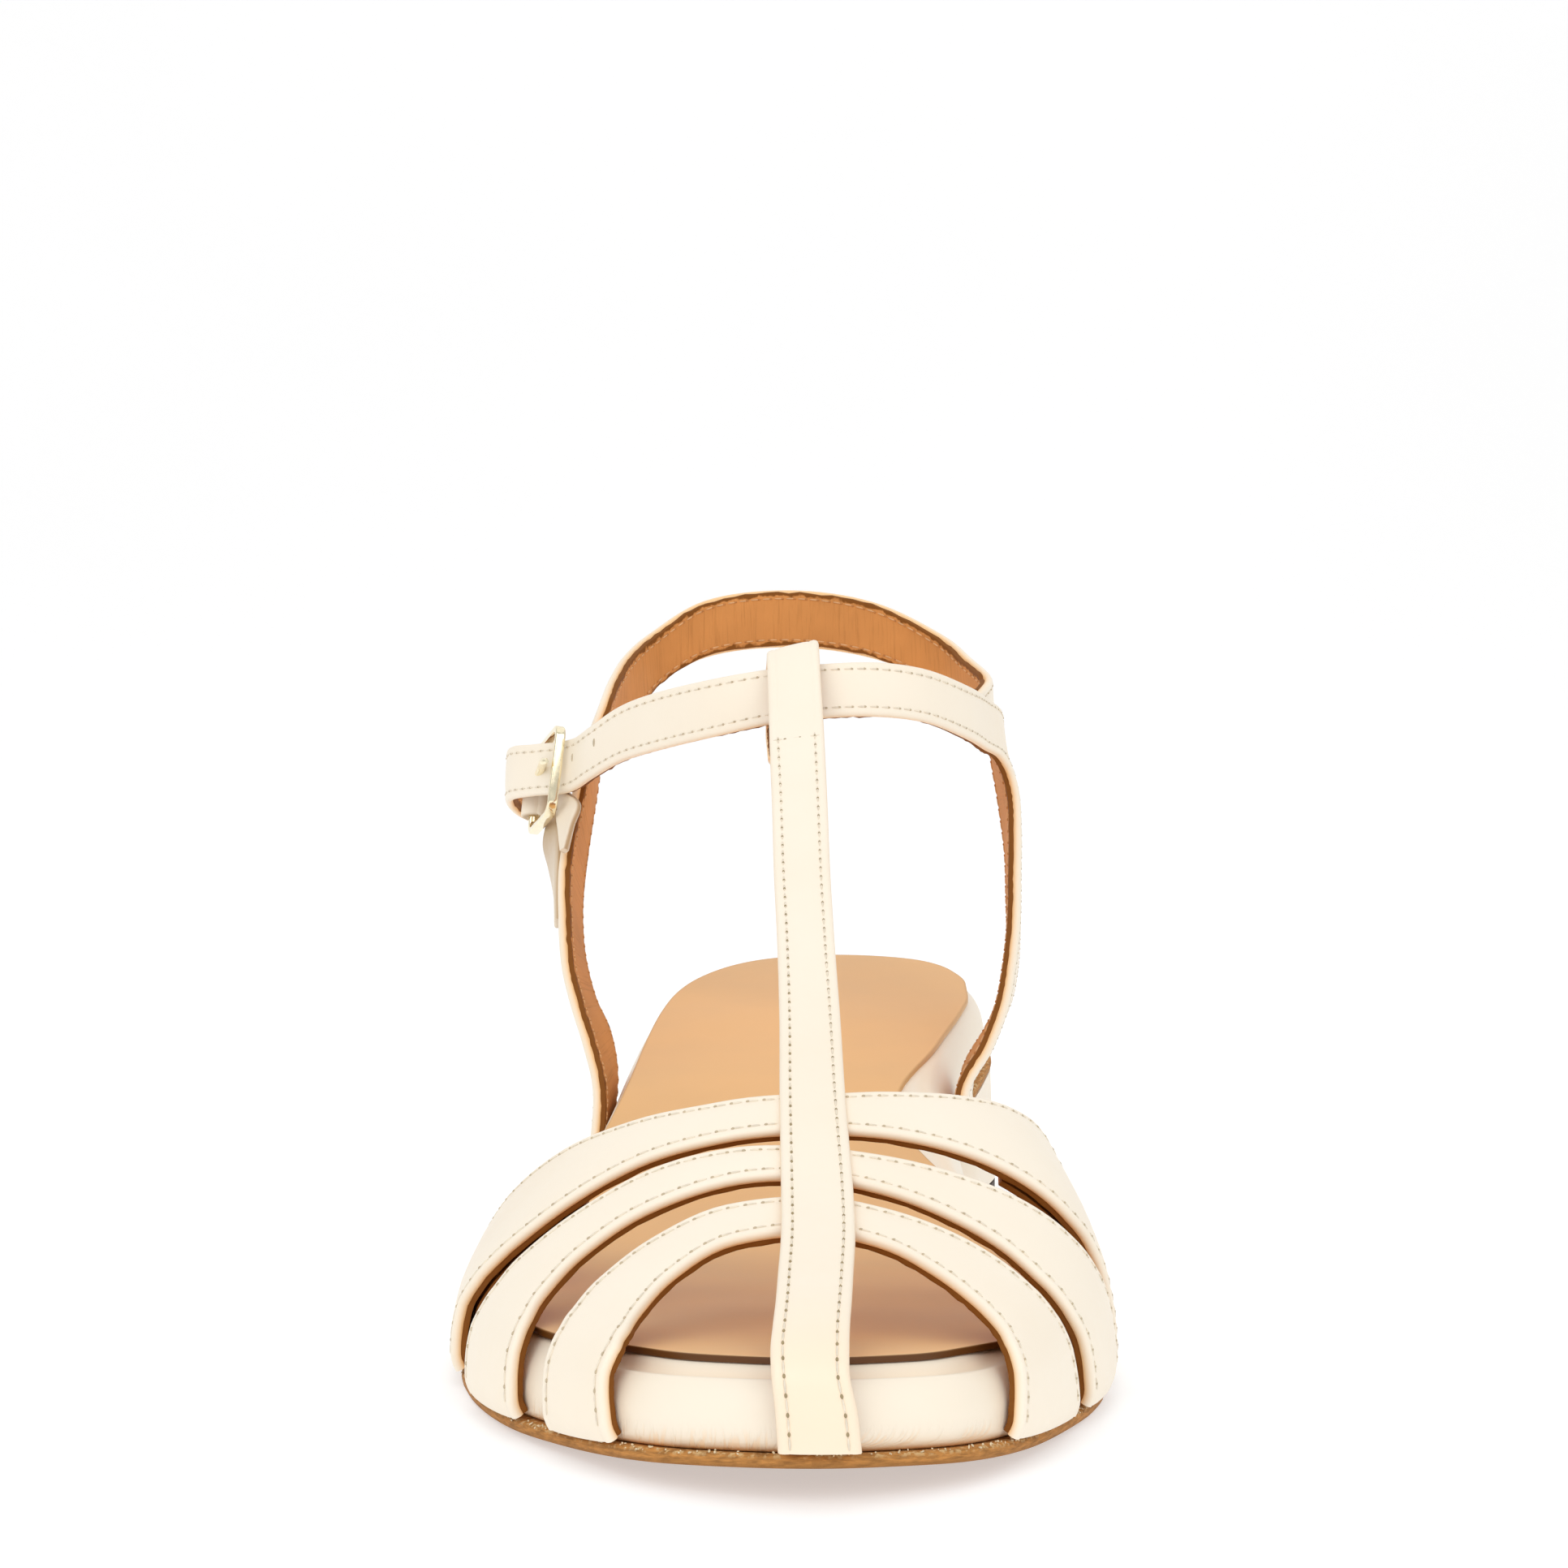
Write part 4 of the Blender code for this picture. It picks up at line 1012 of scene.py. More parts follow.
class Strip:
    """A strap's outer face: rows of points from one edge to the other, with normals and lengths."""

    def __init__(self, rows, inside):
        self.rows = rows
        last = len(rows) - 1
        normals = []
        outward = 0.0
        for i, row in enumerate(rows):
            before = rows[max(i - 1, 0)]
            after = rows[min(i + 1, last)]
            line = []
            for j, point in enumerate(row):
                along = after[j] - before[j]
                across = row[min(j + 1, len(row) - 1)] - row[max(j - 1, 0)]
                normal = along.cross(across).normalized()
                outward += normal.dot(point - inside)
                line.append(normal)
            normals.append(line)
        facing = math.copysign(1.0, outward)
        self.normals = [[normal * facing for normal in line] for line in normals]
        self.lengths = []
        for row in rows:
            marks = [0.0]
            for a, b in zip(row, row[1:]):
                marks.append(marks[-1] + (b - a).length)
            self.lengths.append(marks)
        middles = [row[len(row) // 2] for row in rows]
        self.runs = [0.0]
        for a, b in zip(middles, middles[1:]):
            self.runs.append(self.runs[-1] + (b - a).length)

    def width(self, i):
        """Width of a row, along its face."""
        return self.lengths[i][-1]

    def point(self, i, distance, depth):
        """Point at a distance from the first edge and a depth under the outer face."""
        marks = self.lengths[i]
        distance = min(max(distance, 0.0), marks[-1])
        j = max(k for k in range(len(marks) - 1) if marks[k] <= distance)
        share = (distance - marks[j]) / (marks[j + 1] - marks[j])
        place = self.rows[i][j].lerp(self.rows[i][j + 1], share)
        normal = self.normals[i][j].lerp(self.normals[i][j + 1], share).normalized()
        return place - normal * depth

    def line(self, from_edge, depth, far_edge, start=0, stop=None):
        """Path along the strip at a distance from one of its edges."""
        stop = len(self.rows) if stop is None else stop
        found = []
        for i in range(start, stop):
            reach = min(from_edge, self.width(i) / 2.0)
            distance = self.width(i) - reach if far_edge else reach
            found.append(self.point(i, distance, depth))
        return found

    def skin(self, mesh, half, face_depth, back_depth, ragged=0.0):
        """Adds a closed skin with the half section at both edges, which are ragged by a length."""
        rings = []
        rims = []
        uvs = []
        for i in range(len(self.rows)):
            width = self.width(i)
            squeeze = min(1.0, width / NARROW_STRIP)
            marks = []
            near = ragged * noise.noise((self.runs[i] * RAGGED_PITCH, 0.0, width))
            far = ragged * noise.noise((self.runs[i] * RAGGED_PITCH, FAR_EDGE_SEED, width))
            for row in half:
                marks.append((row.from_edge * squeeze + near * row.rim, row.depth, row.rim))
            inner = half[-1].from_edge * squeeze
            for share in FACE_SHARES:
                crown = FACE_CROWN * math.sin(math.pi * share)
                marks.append((inner + (width - 2.0 * inner) * share, face_depth - crown, 0.0))
            for row in reversed(half):
                marks.append((width - row.from_edge * squeeze - far * row.rim, row.depth, row.rim))
            outer = half[0].from_edge * squeeze
            for share in reversed(FACE_SHARES):
                marks.append((outer + (width - 2.0 * outer) * share, back_depth, half[0].rim))
            ring = []
            for distance, depth, rim in marks:
                ring.append(self.point(i, distance, depth))
            rings.append(ring)
            rims.append([rim for distance, depth, rim in marks])
            uvs.append([(self.runs[i], distance) for distance, depth, rim in marks])
        mesh.add_rings(rings, rims, uvs)


def last_section(y, step):
    """Point of the forefoot's plain section, from step 0 at the lateral sole to 8 at the medial sole."""
    angle = angle_at(y)
    lateral = lateral_at_angle(angle) - SEAT_GAP
    medial = medial_at_angle(angle) + SEAT_GAP
    sole = underside_at(y) + FOOTBED_BOTTOM
    shoulder = sole + SIDE_RISE
    if step <= LATERAL_EDGE_STEP:
        return Vector((lateral, y, sole + SIDE_RISE * step))
    if step >= MEDIAL_EDGE_STEP:
        return Vector((medial, y, sole + SIDE_RISE * (MEDIAL_SOLE_STEP - step)))
    turn = math.pi * (step - LATERAL_EDGE_STEP) / (MEDIAL_EDGE_STEP - LATERAL_EDGE_STEP)
    reach = math.cos(turn)
    half = CREST_X - lateral if reach > 0.0 else medial - CREST_X
    power = lateral_power_at(y) if reach > 0.0 else medial_power_at(y)
    arch = max(crest_at(y) - shoulder, PAD_RISE) * math.sin(turn) ** power
    inset = min(half * (1.0 - abs(reach)) / PAD_RUN, 1.0)
    pad = PAD_RISE * (1.0 - (1.0 - inset) ** 2)
    rise = (arch ** PAD_BLEND + pad ** PAD_BLEND) ** (1.0 / PAD_BLEND)
    return Vector((CREST_X - half * reach, y, shoulder + rise))


def last_point(y, step):
    """Point of the last: the plain section with its shoulders rounded over the steps nearby."""
    inner = min(max(step, LATERAL_EDGE_STEP), MEDIAL_EDGE_STEP)
    turn = math.pi * (inner - LATERAL_EDGE_STEP) / (MEDIAL_EDGE_STEP - LATERAL_EDGE_STEP)
    spread = SHOULDER_SPREAD * abs(math.cos(turn))
    total = Vector((0.0, 0.0, 0.0))
    for share, weight in SHOULDER_WEIGHTS:
        total += last_section(y, step + spread * share) * weight
    return total / sum(weight for share, weight in SHOULDER_WEIGHTS)


def last_normal(y, step):
    """Outward direction of the last."""
    dy = 0.2
    ds = 0.05
    along = last_point(y + dy, step) - last_point(y - dy, step)
    around = last_point(y, step + ds) - last_point(y, step - ds)
    return around.cross(along).normalized()


# Points inside the foot, from which the straps' outer faces turn away
FOOT_MIDDLE = Vector((CREST_X, 75.0, 15.0))
ANKLE_MIDDLE = Vector((-3.0, 200.0, 80.0))


def cross_strap(edges):
    """Strip of a cross strap's outer face from the lateral to the medial sole."""
    steps = [edge.step for edge in edges]
    back_at = smooth(steps, [edge.back for edge in edges])
    front_at = smooth(steps, [edge.front for edge in edges])
    rows = []
    for k in range(MEDIAL_SOLE_STEP * STEPS_PER_COLUMN + 1):
        step = k / STEPS_PER_COLUMN
        low = max(1.0 - min(step, MEDIAL_SOLE_STEP - step) / TUCK_STEP, 0.0)
        height = STRAP_WALL - TUCK_DEPTH * low * low
        row = []
        for column in range(STRAP_COLUMNS + 1):
            y = back_at(step) + (front_at(step) - back_at(step)) * column / STRAP_COLUMNS
            row.append(last_point(y, step) + last_normal(y, step) * height)
        rows.append(row)
    return Strip(rows, FOOT_MIDDLE)


def t_bar():
    """Strip of the T-bar's outer face, from the toe up to the loop and back under it."""
    rows = []
    for row in table(BarRow, *rows_through(T_BAR, ROWS_PER_SPAN)):
        half = Vector((row.width / 2.0, 0.0, row.tilt / 2.0))
        middle = Vector((row.x, row.y, row.z))
        rows.append([middle - half, middle, middle + half])
    return Strip(rows, FOOT_MIDDLE)


def edge_rows(band):
    """Rows from edge a over the middle to edge b of a band."""
    rows = []
    for row in table(BandRow, *rows_through(band, ROWS_PER_SPAN)):
        a = Vector((row.ax, row.ay, row.az))
        b = Vector((row.bx, row.by, row.bz))
        rows.append([a, (a + b) / 2.0, b])
    return rows


def ankle_band(band):
    """Strip of the ankle or sling strap's outer face."""
    return Strip(edge_rows(band), ANKLE_MIDDLE)


def buckle_tab_strip():
    """Tongue on the strap's front, then the roll around the hinge bar."""
    rows = edge_rows(TAB_TONGUE)
    for k in range(TAB_ROLL_STEPS + 1):
        turn = math.radians(TAB_ROLL_START + (TAB_ROLL_END - TAB_ROLL_START) * k / TAB_ROLL_STEPS)
        arm = FRAME_INWARD * math.cos(turn) + FRAME_RUN * math.sin(turn)
        middle = HINGE_BAR + arm * TAB_ROLL_RADIUS
        half = BAR_DIRECTION * TAB_HALF_WIDTH
        rows.append([middle - half, middle, middle + half])
    return Strip(rows + edge_rows(TAB_OUTER), HINGE_BAR)


# Rings of the sole: inset from the outline, height over the underside at the sides and toe, tint; on the
# footbed the tint is the tan where the leather turns under low down, and painted shade in the toe's valley
RingRow = namedtuple("RingRow", "inset height toe rim")
OUTSOLE_RINGS = table(
    RingRow,
    (0.6, 0.0, 0.0, 0.0),
    (-0.6, 0.0, 0.0, 0.0),
    (-0.95, 0.25, 0.25, 0.0),
    (-1.05, 0.8, 0.8, 0.0),
    (-0.95, 1.35, 1.35, 0.0),
    (-0.6, 1.6, 1.6, 0.0),
    (1.5, 1.6, 1.6, 0.0),
)
FOOTBED_RINGS = table(
    RingRow,
    (3.2, 1.66, 1.66, 1.0),
    (1.3, 1.7, 1.7, 0.9),
    (0.4, 2.3, 2.3, 0.25),
    (0.05, 3.9, 3.9, 0.0),
    (0.15, 5.9, 5.9, 0.0),
    (0.8, 7.8, 7.8, 0.0),
    (1.6, 9.1, 9.1, 0.0),
    (2.5, 10.1, 9.85, 0.0),
    # Painted shade: the tint of the next three rows darkens the valley behind the toe's crest
    (3.4, 10.9, 9.6, 0.12),
    (4.3, 11.2, 9.65, 0.16),
    (5.3, 11.3, 10.5, 0.10),
    (6.4, 11.3, 11.3, 0.0),
    (12.0, 11.3, 11.3, 0.0),
)
TOE_FADE_START = 18.0
TOE_FADE_END = 34.0


def toe_share(y):
    """1 at the toe, fading to 0 where the footbed's rim turns flat."""
    t = min(max((TOE_FADE_END - y) / (TOE_FADE_END - TOE_FADE_START), 0.0), 1.0)
    return t * t * (3.0 - 2.0 * t)


def add_layer(mesh, rings, rims, stations):
    """Skin over rings, closed across from side to side at its first and last ring."""
    base = len(mesh.vertices)
    count = len(rings[0])
    uvs = []
    for ring in rings:
        around = 0.0
        line = []
        for j, point in enumerate(ring):
            around += math.dist(ring[j - 1], point) if j else 0.0
            line.append((around, point[2] - underside_at(point[1])))
        uvs.append(line)
    mesh.add_rings(rings, [[rim] * count for rim in rims], uvs, closed_ends=False)
    for start in (base, base + (len(rings) - 1) * count):
        mesh.faces.append((start, start + 1, start + count - 1))
        for i in range(1, stations - 1):
            quad = (start + i, start + i + 1, start + count - i - 1, start + count - i)
            mesh.faces.append(quad)
        mesh.faces.append((start + stations - 1, start + stations, start + stations + 1))


def sole_piece(name, rows, material, per_span):
    """Layer of the sole: rings that follow the footbed's outline and the underside."""
    mesh = Mesh()
    rings = []
    rows = table(RingRow, *rows_through(rows, per_span))
    for row in rows:
        plan = footbed_plan(row.inset, FINE_STATIONS)
        ring = []
        for x, y in plan:
            height = row.height + (row.toe - row.height) * toe_share(y)
            ring.append((x, y, underside_at(y) + height))
        rings.append(ring)
    add_layer(mesh, rings, [row.rim for row in rows], FINE_STATIONS)
    return mesh.to_object(name, material)


def sock_piece():
    """Sock lining with a dark cut edge, set back from the toe and narrow at the medial waist."""
    bottom = FOOTBED_TOP + FIT_GAP
    top = FOOTBED_TOP + FIT_GAP + SOCK_THICK
    rings = []
    mesh = Mesh()
    rows = [
        RingRow(0.0, bottom, bottom, 1.0),
        RingRow(0.0, top - SOCK_BEVEL, top - SOCK_BEVEL, 1.0),
        RingRow(SOCK_BEVEL, top, top, SOCK_BEVEL_RIM),
        RingRow(SOCK_EDGE_WIDTH, top, top, 0.0),
        RingRow(SOCK_FLAT, top, top, 0.0),
    ]
    for row in rows:
        ring = []
        side = footbed_plan(SOCK_RIM + row.inset, FINE_STATIONS)
        toe = footbed_plan(SOCK_TOE_RIM + row.inset, FINE_STATIONS)
        for (side_x, side_y), (toe_x, toe_y) in zip(side, toe):
            share = toe_share(side_y)
            x = side_x + (toe_x - side_x) * share
            y = side_y + (toe_y - side_y) * share
            if x > CREST_X:
                bend = (y - SOCK_WAIST_Y) / SOCK_WAIST_SPREAD
                x -= SOCK_WAIST_TRIM * math.exp(-bend * bend)
            ring.append((x, y, underside_at(y) + row.height))
        rings.append(ring)
    add_layer(mesh, rings, [row.rim for row in rows], FINE_STATIONS)
    for k, place in enumerate(mesh.vertices):
        front = min(1.0, max(0.0, (SOCK_EDGE_END - place[1]) / SOCK_EDGE_FADE))
        mesh.rims[k] *= SOCK_EDGE_SIDE + (1.0 - SOCK_EDGE_SIDE) * front
    return mesh.to_object("sock_lining_leather", "sock_leather")


def heel_plan():
    """Heel outline in plan: rounded breast corners, then the heel seat's curve."""
    corner = HEEL_CORNER_RADIUS
    back_y = FOOTBED_OUTLINE[-1].y
    ys = [HEEL_BREAST_Y + corner * (1.0 - math.cos(math.radians(a))) for a in range(0, 91, 9)]
    run = back_y - ys[-1]
    ys += [ys[-1] + run * math.sin(math.radians(a)) for a in range(3, 90, 3)]
    lateral = []
    medial = []
    for y in ys:
        ahead = max(corner - (y - HEEL_BREAST_Y), 0.0)
        rounding = corner - math.sqrt(max(corner * corner - ahead * ahead, 0.0))
        lateral.append((lateral_at_angle(angle_at(y)) + rounding, y))
        medial.append((medial_at_angle(angle_at(y)) - rounding, y))
    return lateral + [(FOOTBED_OUTLINE[-1].lateral, back_y)] + list(reversed(medial))


# Levels of the heel: flare of its outline, a floor height, and its share of the way up to the sole
LevelRow = namedtuple("LevelRow", "flare_x flare_y base share")


def heel_piece(name, levels, material):
    """Stack of heel outlines."""
    mesh = Mesh()
    plan = heel_plan()
    rings = []
    for level in levels:
        ring = []
        for x, y in plan:
            wide_x = HEEL_CENTRE[0] + (x - HEEL_CENTRE[0]) * level.flare_x
            wide_y = HEEL_CENTRE[1] + (y - HEEL_CENTRE[1]) * level.flare_y
            rise = underside_at(wide_y) - FIT_GAP - level.base
            ring.append((wide_x, wide_y, level.base + rise * level.share))
        rings.append(ring)
    count = len(plan)
    uvs = [[(float(j), float(i)) for j in range(count)] for i in range(len(rings))]
    mesh.add_rings(rings, [[0.0] * count for ring in rings], uvs, closed_ends=False)
    half = count // 2
    for start in (0, (len(rings) - 1) * count):
        for i in range(half - 1):
            quad = (start + i, start + i + 1, start + count - i - 2, start + count - i - 1)
            mesh.faces.append(quad)
        mesh.faces.append((start + half - 1, start + half, start + half + 1))
    return mesh.to_object(name, material)


class SANDAL_OT_sole(bpy.types.Operator):
    """Build the outsole, footbed and sock lining"""

    bl_idname = "sandal.sole"
    bl_label = "Sole and Footbed"

    def execute(self, context):
        outsole = sole_piece("outsole_board", OUTSOLE_RINGS, "outsole_board", OUTSOLE_SPAN_ROWS)
        settle(outsole, "outsole_edge", "outsole")
        footbed = sole_piece("footbed_cover", FOOTBED_RINGS, "footbed_leather", FOOTBED_SPAN_ROWS)
        settle(footbed, "cream_leather", "footbed")
        settle(sock_piece(), "tan_leather", "sock_lining")
        return {"FINISHED"}


class SANDAL_OT_heel(bpy.types.Operator):
    """Build the covered heel block and its top piece"""

    bl_idname = "sandal.heel"
    bl_label = "Heel"

    def execute(self, context):
        foot = HEEL_LIFT_THICK + FIT_GAP
        levels = []
        for k in range(HEEL_LEVELS + 1):
            share = k / HEEL_LEVELS
            flare_x = HEEL_FLARE_X + (HEEL_SEAT_X - HEEL_FLARE_X) * share ** HEEL_CURVE_X
            flare_y = HEEL_FLARE_Y + (HEEL_SEAT_Y - HEEL_FLARE_Y) * share ** HEEL_CURVE_Y
            levels.append(LevelRow(flare_x, flare_y, foot, share))
        settle(heel_piece("heel_cover", levels, "cover_leather"), "cream_leather", "heel_block")
        lift_levels = [
            LevelRow(HEEL_FLARE_X - LIFT_TAPER, HEEL_FLARE_Y - LIFT_TAPER, 0.0, 0.0),
            LevelRow(HEEL_FLARE_X, HEEL_FLARE_Y, LIFT_BEVEL, 0.0),
            LevelRow(HEEL_FLARE_X, HEEL_FLARE_Y, HEEL_LIFT_THICK, 0.0),
        ]
        settle(heel_piece("heel_top_piece", lift_levels, "heel_rubber"), "lift_rubber", "heel_lift")
        return {"FINISHED"}


def cage_strips():
    """Strips of the cage: the T-bar, then the cross straps from the rear to the front."""
    strips = [t_bar()]
    for edges in CROSS_STRAPS.values():
        strips.append(cross_strap(edges))
    return strips


def add_strap(strip, cover, lining):
    """Adds a strap's cover and, behind it, its lining with ragged cut edges."""
    strip.skin(cover, COVER_HALF, 0.0, COVER_HALF[0].depth)
    strip.skin(lining, LINING_HALF, LINING_HALF[-1].depth, STRAP_WALL, LINING_RAGGED)


def side_facings(strip):
    """Ends of a cross strap where its lining lies double, beside the footbed."""
    rows = int(FACING_STEP * STEPS_PER_COLUMN)
    return [Strip(strip.rows[1:rows], FOOT_MIDDLE), Strip(strip.rows[-rows:-1], FOOT_MIDDLE)]


def shade_toe(cover):
    """Paints shade into the cover's colour where the T-bar turns down at the toe."""
    for k, place in enumerate(cover.vertices):
        fade = max(0.0, 1.0 - place[1] / BAR_TOE_END)
        cover.rims[k] = max(cover.rims[k], BAR_TOE_SHADE * fade)


class SANDAL_OT_cage(bpy.types.Operator):
    """Build the T-bar and the cross straps with their linings"""

    bl_idname = "sandal.cage"
    bl_label = "Cage"

    def execute(self, context):
        cover = Mesh()
        lining = Mesh()
        strips = cage_strips()
        for strip in strips:
            add_strap(strip, cover, lining)
        for facing in side_facings(strips[1]):
            facing.skin(lining, FACING_HALF, FACING_HALF[-1].depth, FACING_HALF[0].depth)
        shade_toe(cover)
        settle(cover.to_object("cage_cover", "cover_leather"), "cream_leather", "cage_upper")
        settle(lining.to_object("cage_lining", "tan_lining"), "tan_leather")
        return {"FINISHED"}


def shade_wedge(tab):
    """Paints shade on the whole tab a little, and a painted shadow on its outer layer where it comes out from
    under the buckle.
    """
    ring = 2 * (len(TAB_HALF) + len(FACE_SHARES))
    rows = (len(TAB_OUTER) - 1) * ROWS_PER_SPAN + 1
    start = len(tab.vertices) - rows * ring
    tab.rims = [max(rim, TONGUE_SHADE) for rim in tab.rims]
    for k in range(rows * ring):
        fade = 1.0 - (k // ring) / (rows - 1)
        tab.rims[start + k] = max(tab.rims[start + k], WEDGE_SHADE * fade)


class SANDAL_OT_ankle(bpy.types.Operator):
    """Build the ankle strap, the sling strap and the buckle's tab"""

    bl_idname = "sandal.ankle"
    bl_label = "Ankle Straps"

    def execute(self, context):
        bands = (
            ("ankle", ANKLE_STRAP, "ankle_strap"),
            ("sling", SLING_STRAP, "sling_strap"),
        )
        for name, band, node in bands:
            cover = Mesh()
            lining = Mesh()
            add_strap(ankle_band(band), cover, lining)
            settle(cover.to_object(name + "_cover", "cover_leather"), "cream_leather", node)
            settle(lining.to_object(name + "_lining", "tan_lining"), "tan_leather")
        tab = Mesh()
        buckle_tab_strip().skin(tab, TAB_HALF, 0.0, TAB_WALL)
        shade_wedge(tab)
        settle(tab.to_object("buckle_tab_leather", "tab_leather"), "cream_leather", "buckle_tab")
        return {"FINISHED"}


def taper_at(share):
    """Size of the prong's section along its run: full, then thinner towards the tip."""
    return 1.0 - PRONG_TAPER * max(0.0, (share - PRONG_TAPER_START) / PRONG_TAPER_LENGTH) ** 2


def sweep(name, path, section, closed, up):
    """Sweeps a section of (across, up) points along a path; an open path ends in a tapered tip."""
    mesh = Mesh()
    rings = []
    count = len(path)
    for i, point in enumerate(path):
        before = path[i - 1] if closed or i else path[i]
        after = path[(i + 1) % count] if closed or i < count - 1 else path[i]
        along = (after - before).normalized()
        across = along.cross(up).normalized()
        scale = 1.0 if closed else taper_at(i / (count - 1))
        rings.append([point + (across * a + up * b) * scale for a, b in section])
    size = len(section)
    rims = [[0.0] * size for ring in rings]
    uvs = [[(float(i), float(j)) for j in range(size)] for i in range(count)]
    if closed:
        rings.append(rings[0])
        rims.append(rims[0])
        uvs.append(uvs[0])
    mesh.add_rings(rings, rims, uvs, closed_ends=not closed)
    piece = mesh.to_object(name, "pale_gold")
    build = bmesh.new()
    build.from_mesh(piece.data)
    bmesh.ops.remove_doubles(build, verts=build.verts, dist=WELD_DISTANCE)
    bmesh.ops.recalc_face_normals(build, faces=build.faces)
    build.to_mesh(piece.data)
    build.free()
    return piece


def rounded_section(half_across, half_up, corner, steps=4):
    """Rectangle with rounded corners, as points around it."""
    points = []
    for side_a, side_b, start in ((1, 1, 0), (-1, 1, 90), (-1, -1, 180), (1, -1, 270)):
        for k in range(steps + 1):
            turn = math.radians(start + 90.0 * k / steps)
            a = side_a * (half_across - corner) + corner * math.cos(turn)
            b = side_b * (half_up - corner) + corner * math.sin(turn)
            points.append((a, b))
    return points


def frame_path():
    """Rounded rectangle through the front bar, the rails and the hinge bar."""
    length = (HINGE_BAR - FRONT_BAR).length
    tall = FRAME_HALF_HEIGHT
    corner = FRAME_CORNER
    centres = (
        (length - corner, tall - corner, 0.0),
        (corner, tall - corner, 90.0),
        (corner, corner - tall, 180.0),
        (length - corner, corner - tall, 270.0),
    )
    points = []
    for run, rise, start in centres:
        for k in range(FRAME_CORNER_STEPS + 1):
            turn = math.radians(start + 90.0 * k / FRAME_CORNER_STEPS)
            along = run + corner * math.cos(turn)
            up = rise + corner * math.sin(turn)
            points.append(FRONT_BAR + FRAME_RUN * along + BAR_DIRECTION * up)
    return points


class SANDAL_OT_buckle(bpy.types.Operator):
    """Build the buckle's frame and prong"""

    bl_idname = "sandal.buckle"
    bl_label = "Buckle"

    def execute(self, context):
        section = rounded_section(WIRE_HALF_ACROSS, WIRE_HALF_UP, WIRE_CORNER)
        wire = sweep("buckle_wire", frame_path(), section, True, FRAME_INWARD)
        settle(wire, "buckle_metal", "buckle_frame")
        path = [Vector(values) for values in rows_through(PRONG, ROWS_PER_SPAN)]
        section = rounded_section(PRONG_RADIUS, PRONG_RADIUS, PRONG_CORNER)
        prong = sweep("buckle_tongue", path, section, False, BAR_DIRECTION)
        settle(prong, "buckle_metal", "buckle_prong")
        return {"FINISHED"}


def begin_tree(name, sizes, result):
    """Node tree with paths, sizes and a finish as inputs, and points at every pitch along the paths."""
    tree = bpy.data.node_groups.new(name, "GeometryNodeTree")
    panel = tree.interface
    panel.new_socket("Paths", in_out="INPUT", socket_type="NodeSocketGeometry")
    for label in sizes:
        panel.new_socket(label, in_out="INPUT", socket_type="NodeSocketFloat")
    panel.new_socket("Finish", in_out="INPUT", socket_type="NodeSocketMaterial")
    panel.new_socket(result, in_out="OUTPUT", socket_type="NodeSocketGeometry")
    add = node_setter(tree)
    given = add("NodeGroupInput").outputs
    along = {"Curve": given["Paths"], "Length": given["Pitch"]}
    points = add("GeometryNodeCurveToPoints", along, mode="LENGTH").outputs
    return tree, add, given, points


def end_tree(add, given, result, placed):
    """Makes the placed instances real, gives them their finish and hands them out."""
    real = add("GeometryNodeRealizeInstances", {"Geometry": placed.outputs["Instances"]})
    dressed = {"Geometry": real.outputs["Geometry"], "Material": given["Finish"]}
    painted = add("GeometryNodeSetMaterial", dressed)
    add("NodeGroupOutput", {result: painted.outputs["Geometry"]})


def stitch_tree():
    """Node tree that sets a bead of thread, or a dark bead of painted shadow for a needle hole, at every
    pitch along the paths.
    """
    tree, add, given, points = begin_tree("stitch_row", ("Pitch", "Length", "Radius"), "Stitches")
    ball = {"Segments": BEAD_SEGMENTS, "Rings": BEAD_RINGS, "Radius": 0.5}
    bead = add("GeometryNodeMeshUVSphere", ball)
    across = combine(add, "MULTIPLY", given["Radius"], 2.0)
    size = add("ShaderNodeCombineXYZ", {"X": across, "Y": across, "Z": given["Length"]}).outputs["Vector"]
    shaped = add("GeometryNodeTransform", {"Geometry": bead.outputs["Mesh"], "Scale": size})
    placed = add("GeometryNodeInstanceOnPoints", {
        "Points": points["Points"],
        "Instance": shaped.outputs["Geometry"],
        "Rotation": points["Rotation"],
    })
    end_tree(add, given, "Stitches", placed)
    return tree


def row_piece(name, tree, paths, material, **sizes):
    """Runs a node tree over paths and keeps the result as a plain mesh."""
    curve = bpy.data.curves.new(name + "_paths", "CURVE")
    curve.dimensions = "3D"
    for path in paths:
        spline = curve.splines.new("POLY")
        spline.points.add(len(path) - 1)
        for target, point in zip(spline.points, path):
            target.co = (*in_row(point), 1.0)
    guide = new_object(name + "_guide", curve)
    modifier = guide.modifiers.new("row", "NODES")
    modifier.node_group = tree
    values = {"Finish": material_named(material), **sizes}
    for item in tree.interface.items_tree:
        if item.item_type == "SOCKET" and item.in_out == "INPUT" and item.name in values:
            modifier[item.identifier] = values[item.name]
    bpy.context.view_layer.update()
    graph = bpy.context.evaluated_depsgraph_get()
    mesh = bpy.data.meshes.new_from_object(guide.evaluated_get(graph))
    bpy.data.objects.remove(guide)
    if not mesh.polygons:
        raise RuntimeError(name + " came out empty")
    mesh.name = name
    mesh.materials.clear()
    mesh.materials.append(material_named(material))
    mesh.polygons.foreach_set("material_index", [0] * len(mesh.polygons))
    mesh.shade_smooth()
    return new_object(name, mesh)


def shortened(path, length):
    """Path without its first stretch."""
    left = length
    points = list(path)
    while len(points) > 2 and (points[1] - points[0]).length <= left:
        left -= (points[1] - points[0]).length
        points.pop(0)
    points[0] = points[0] + (points[1] - points[0]).normalized() * left
    return points


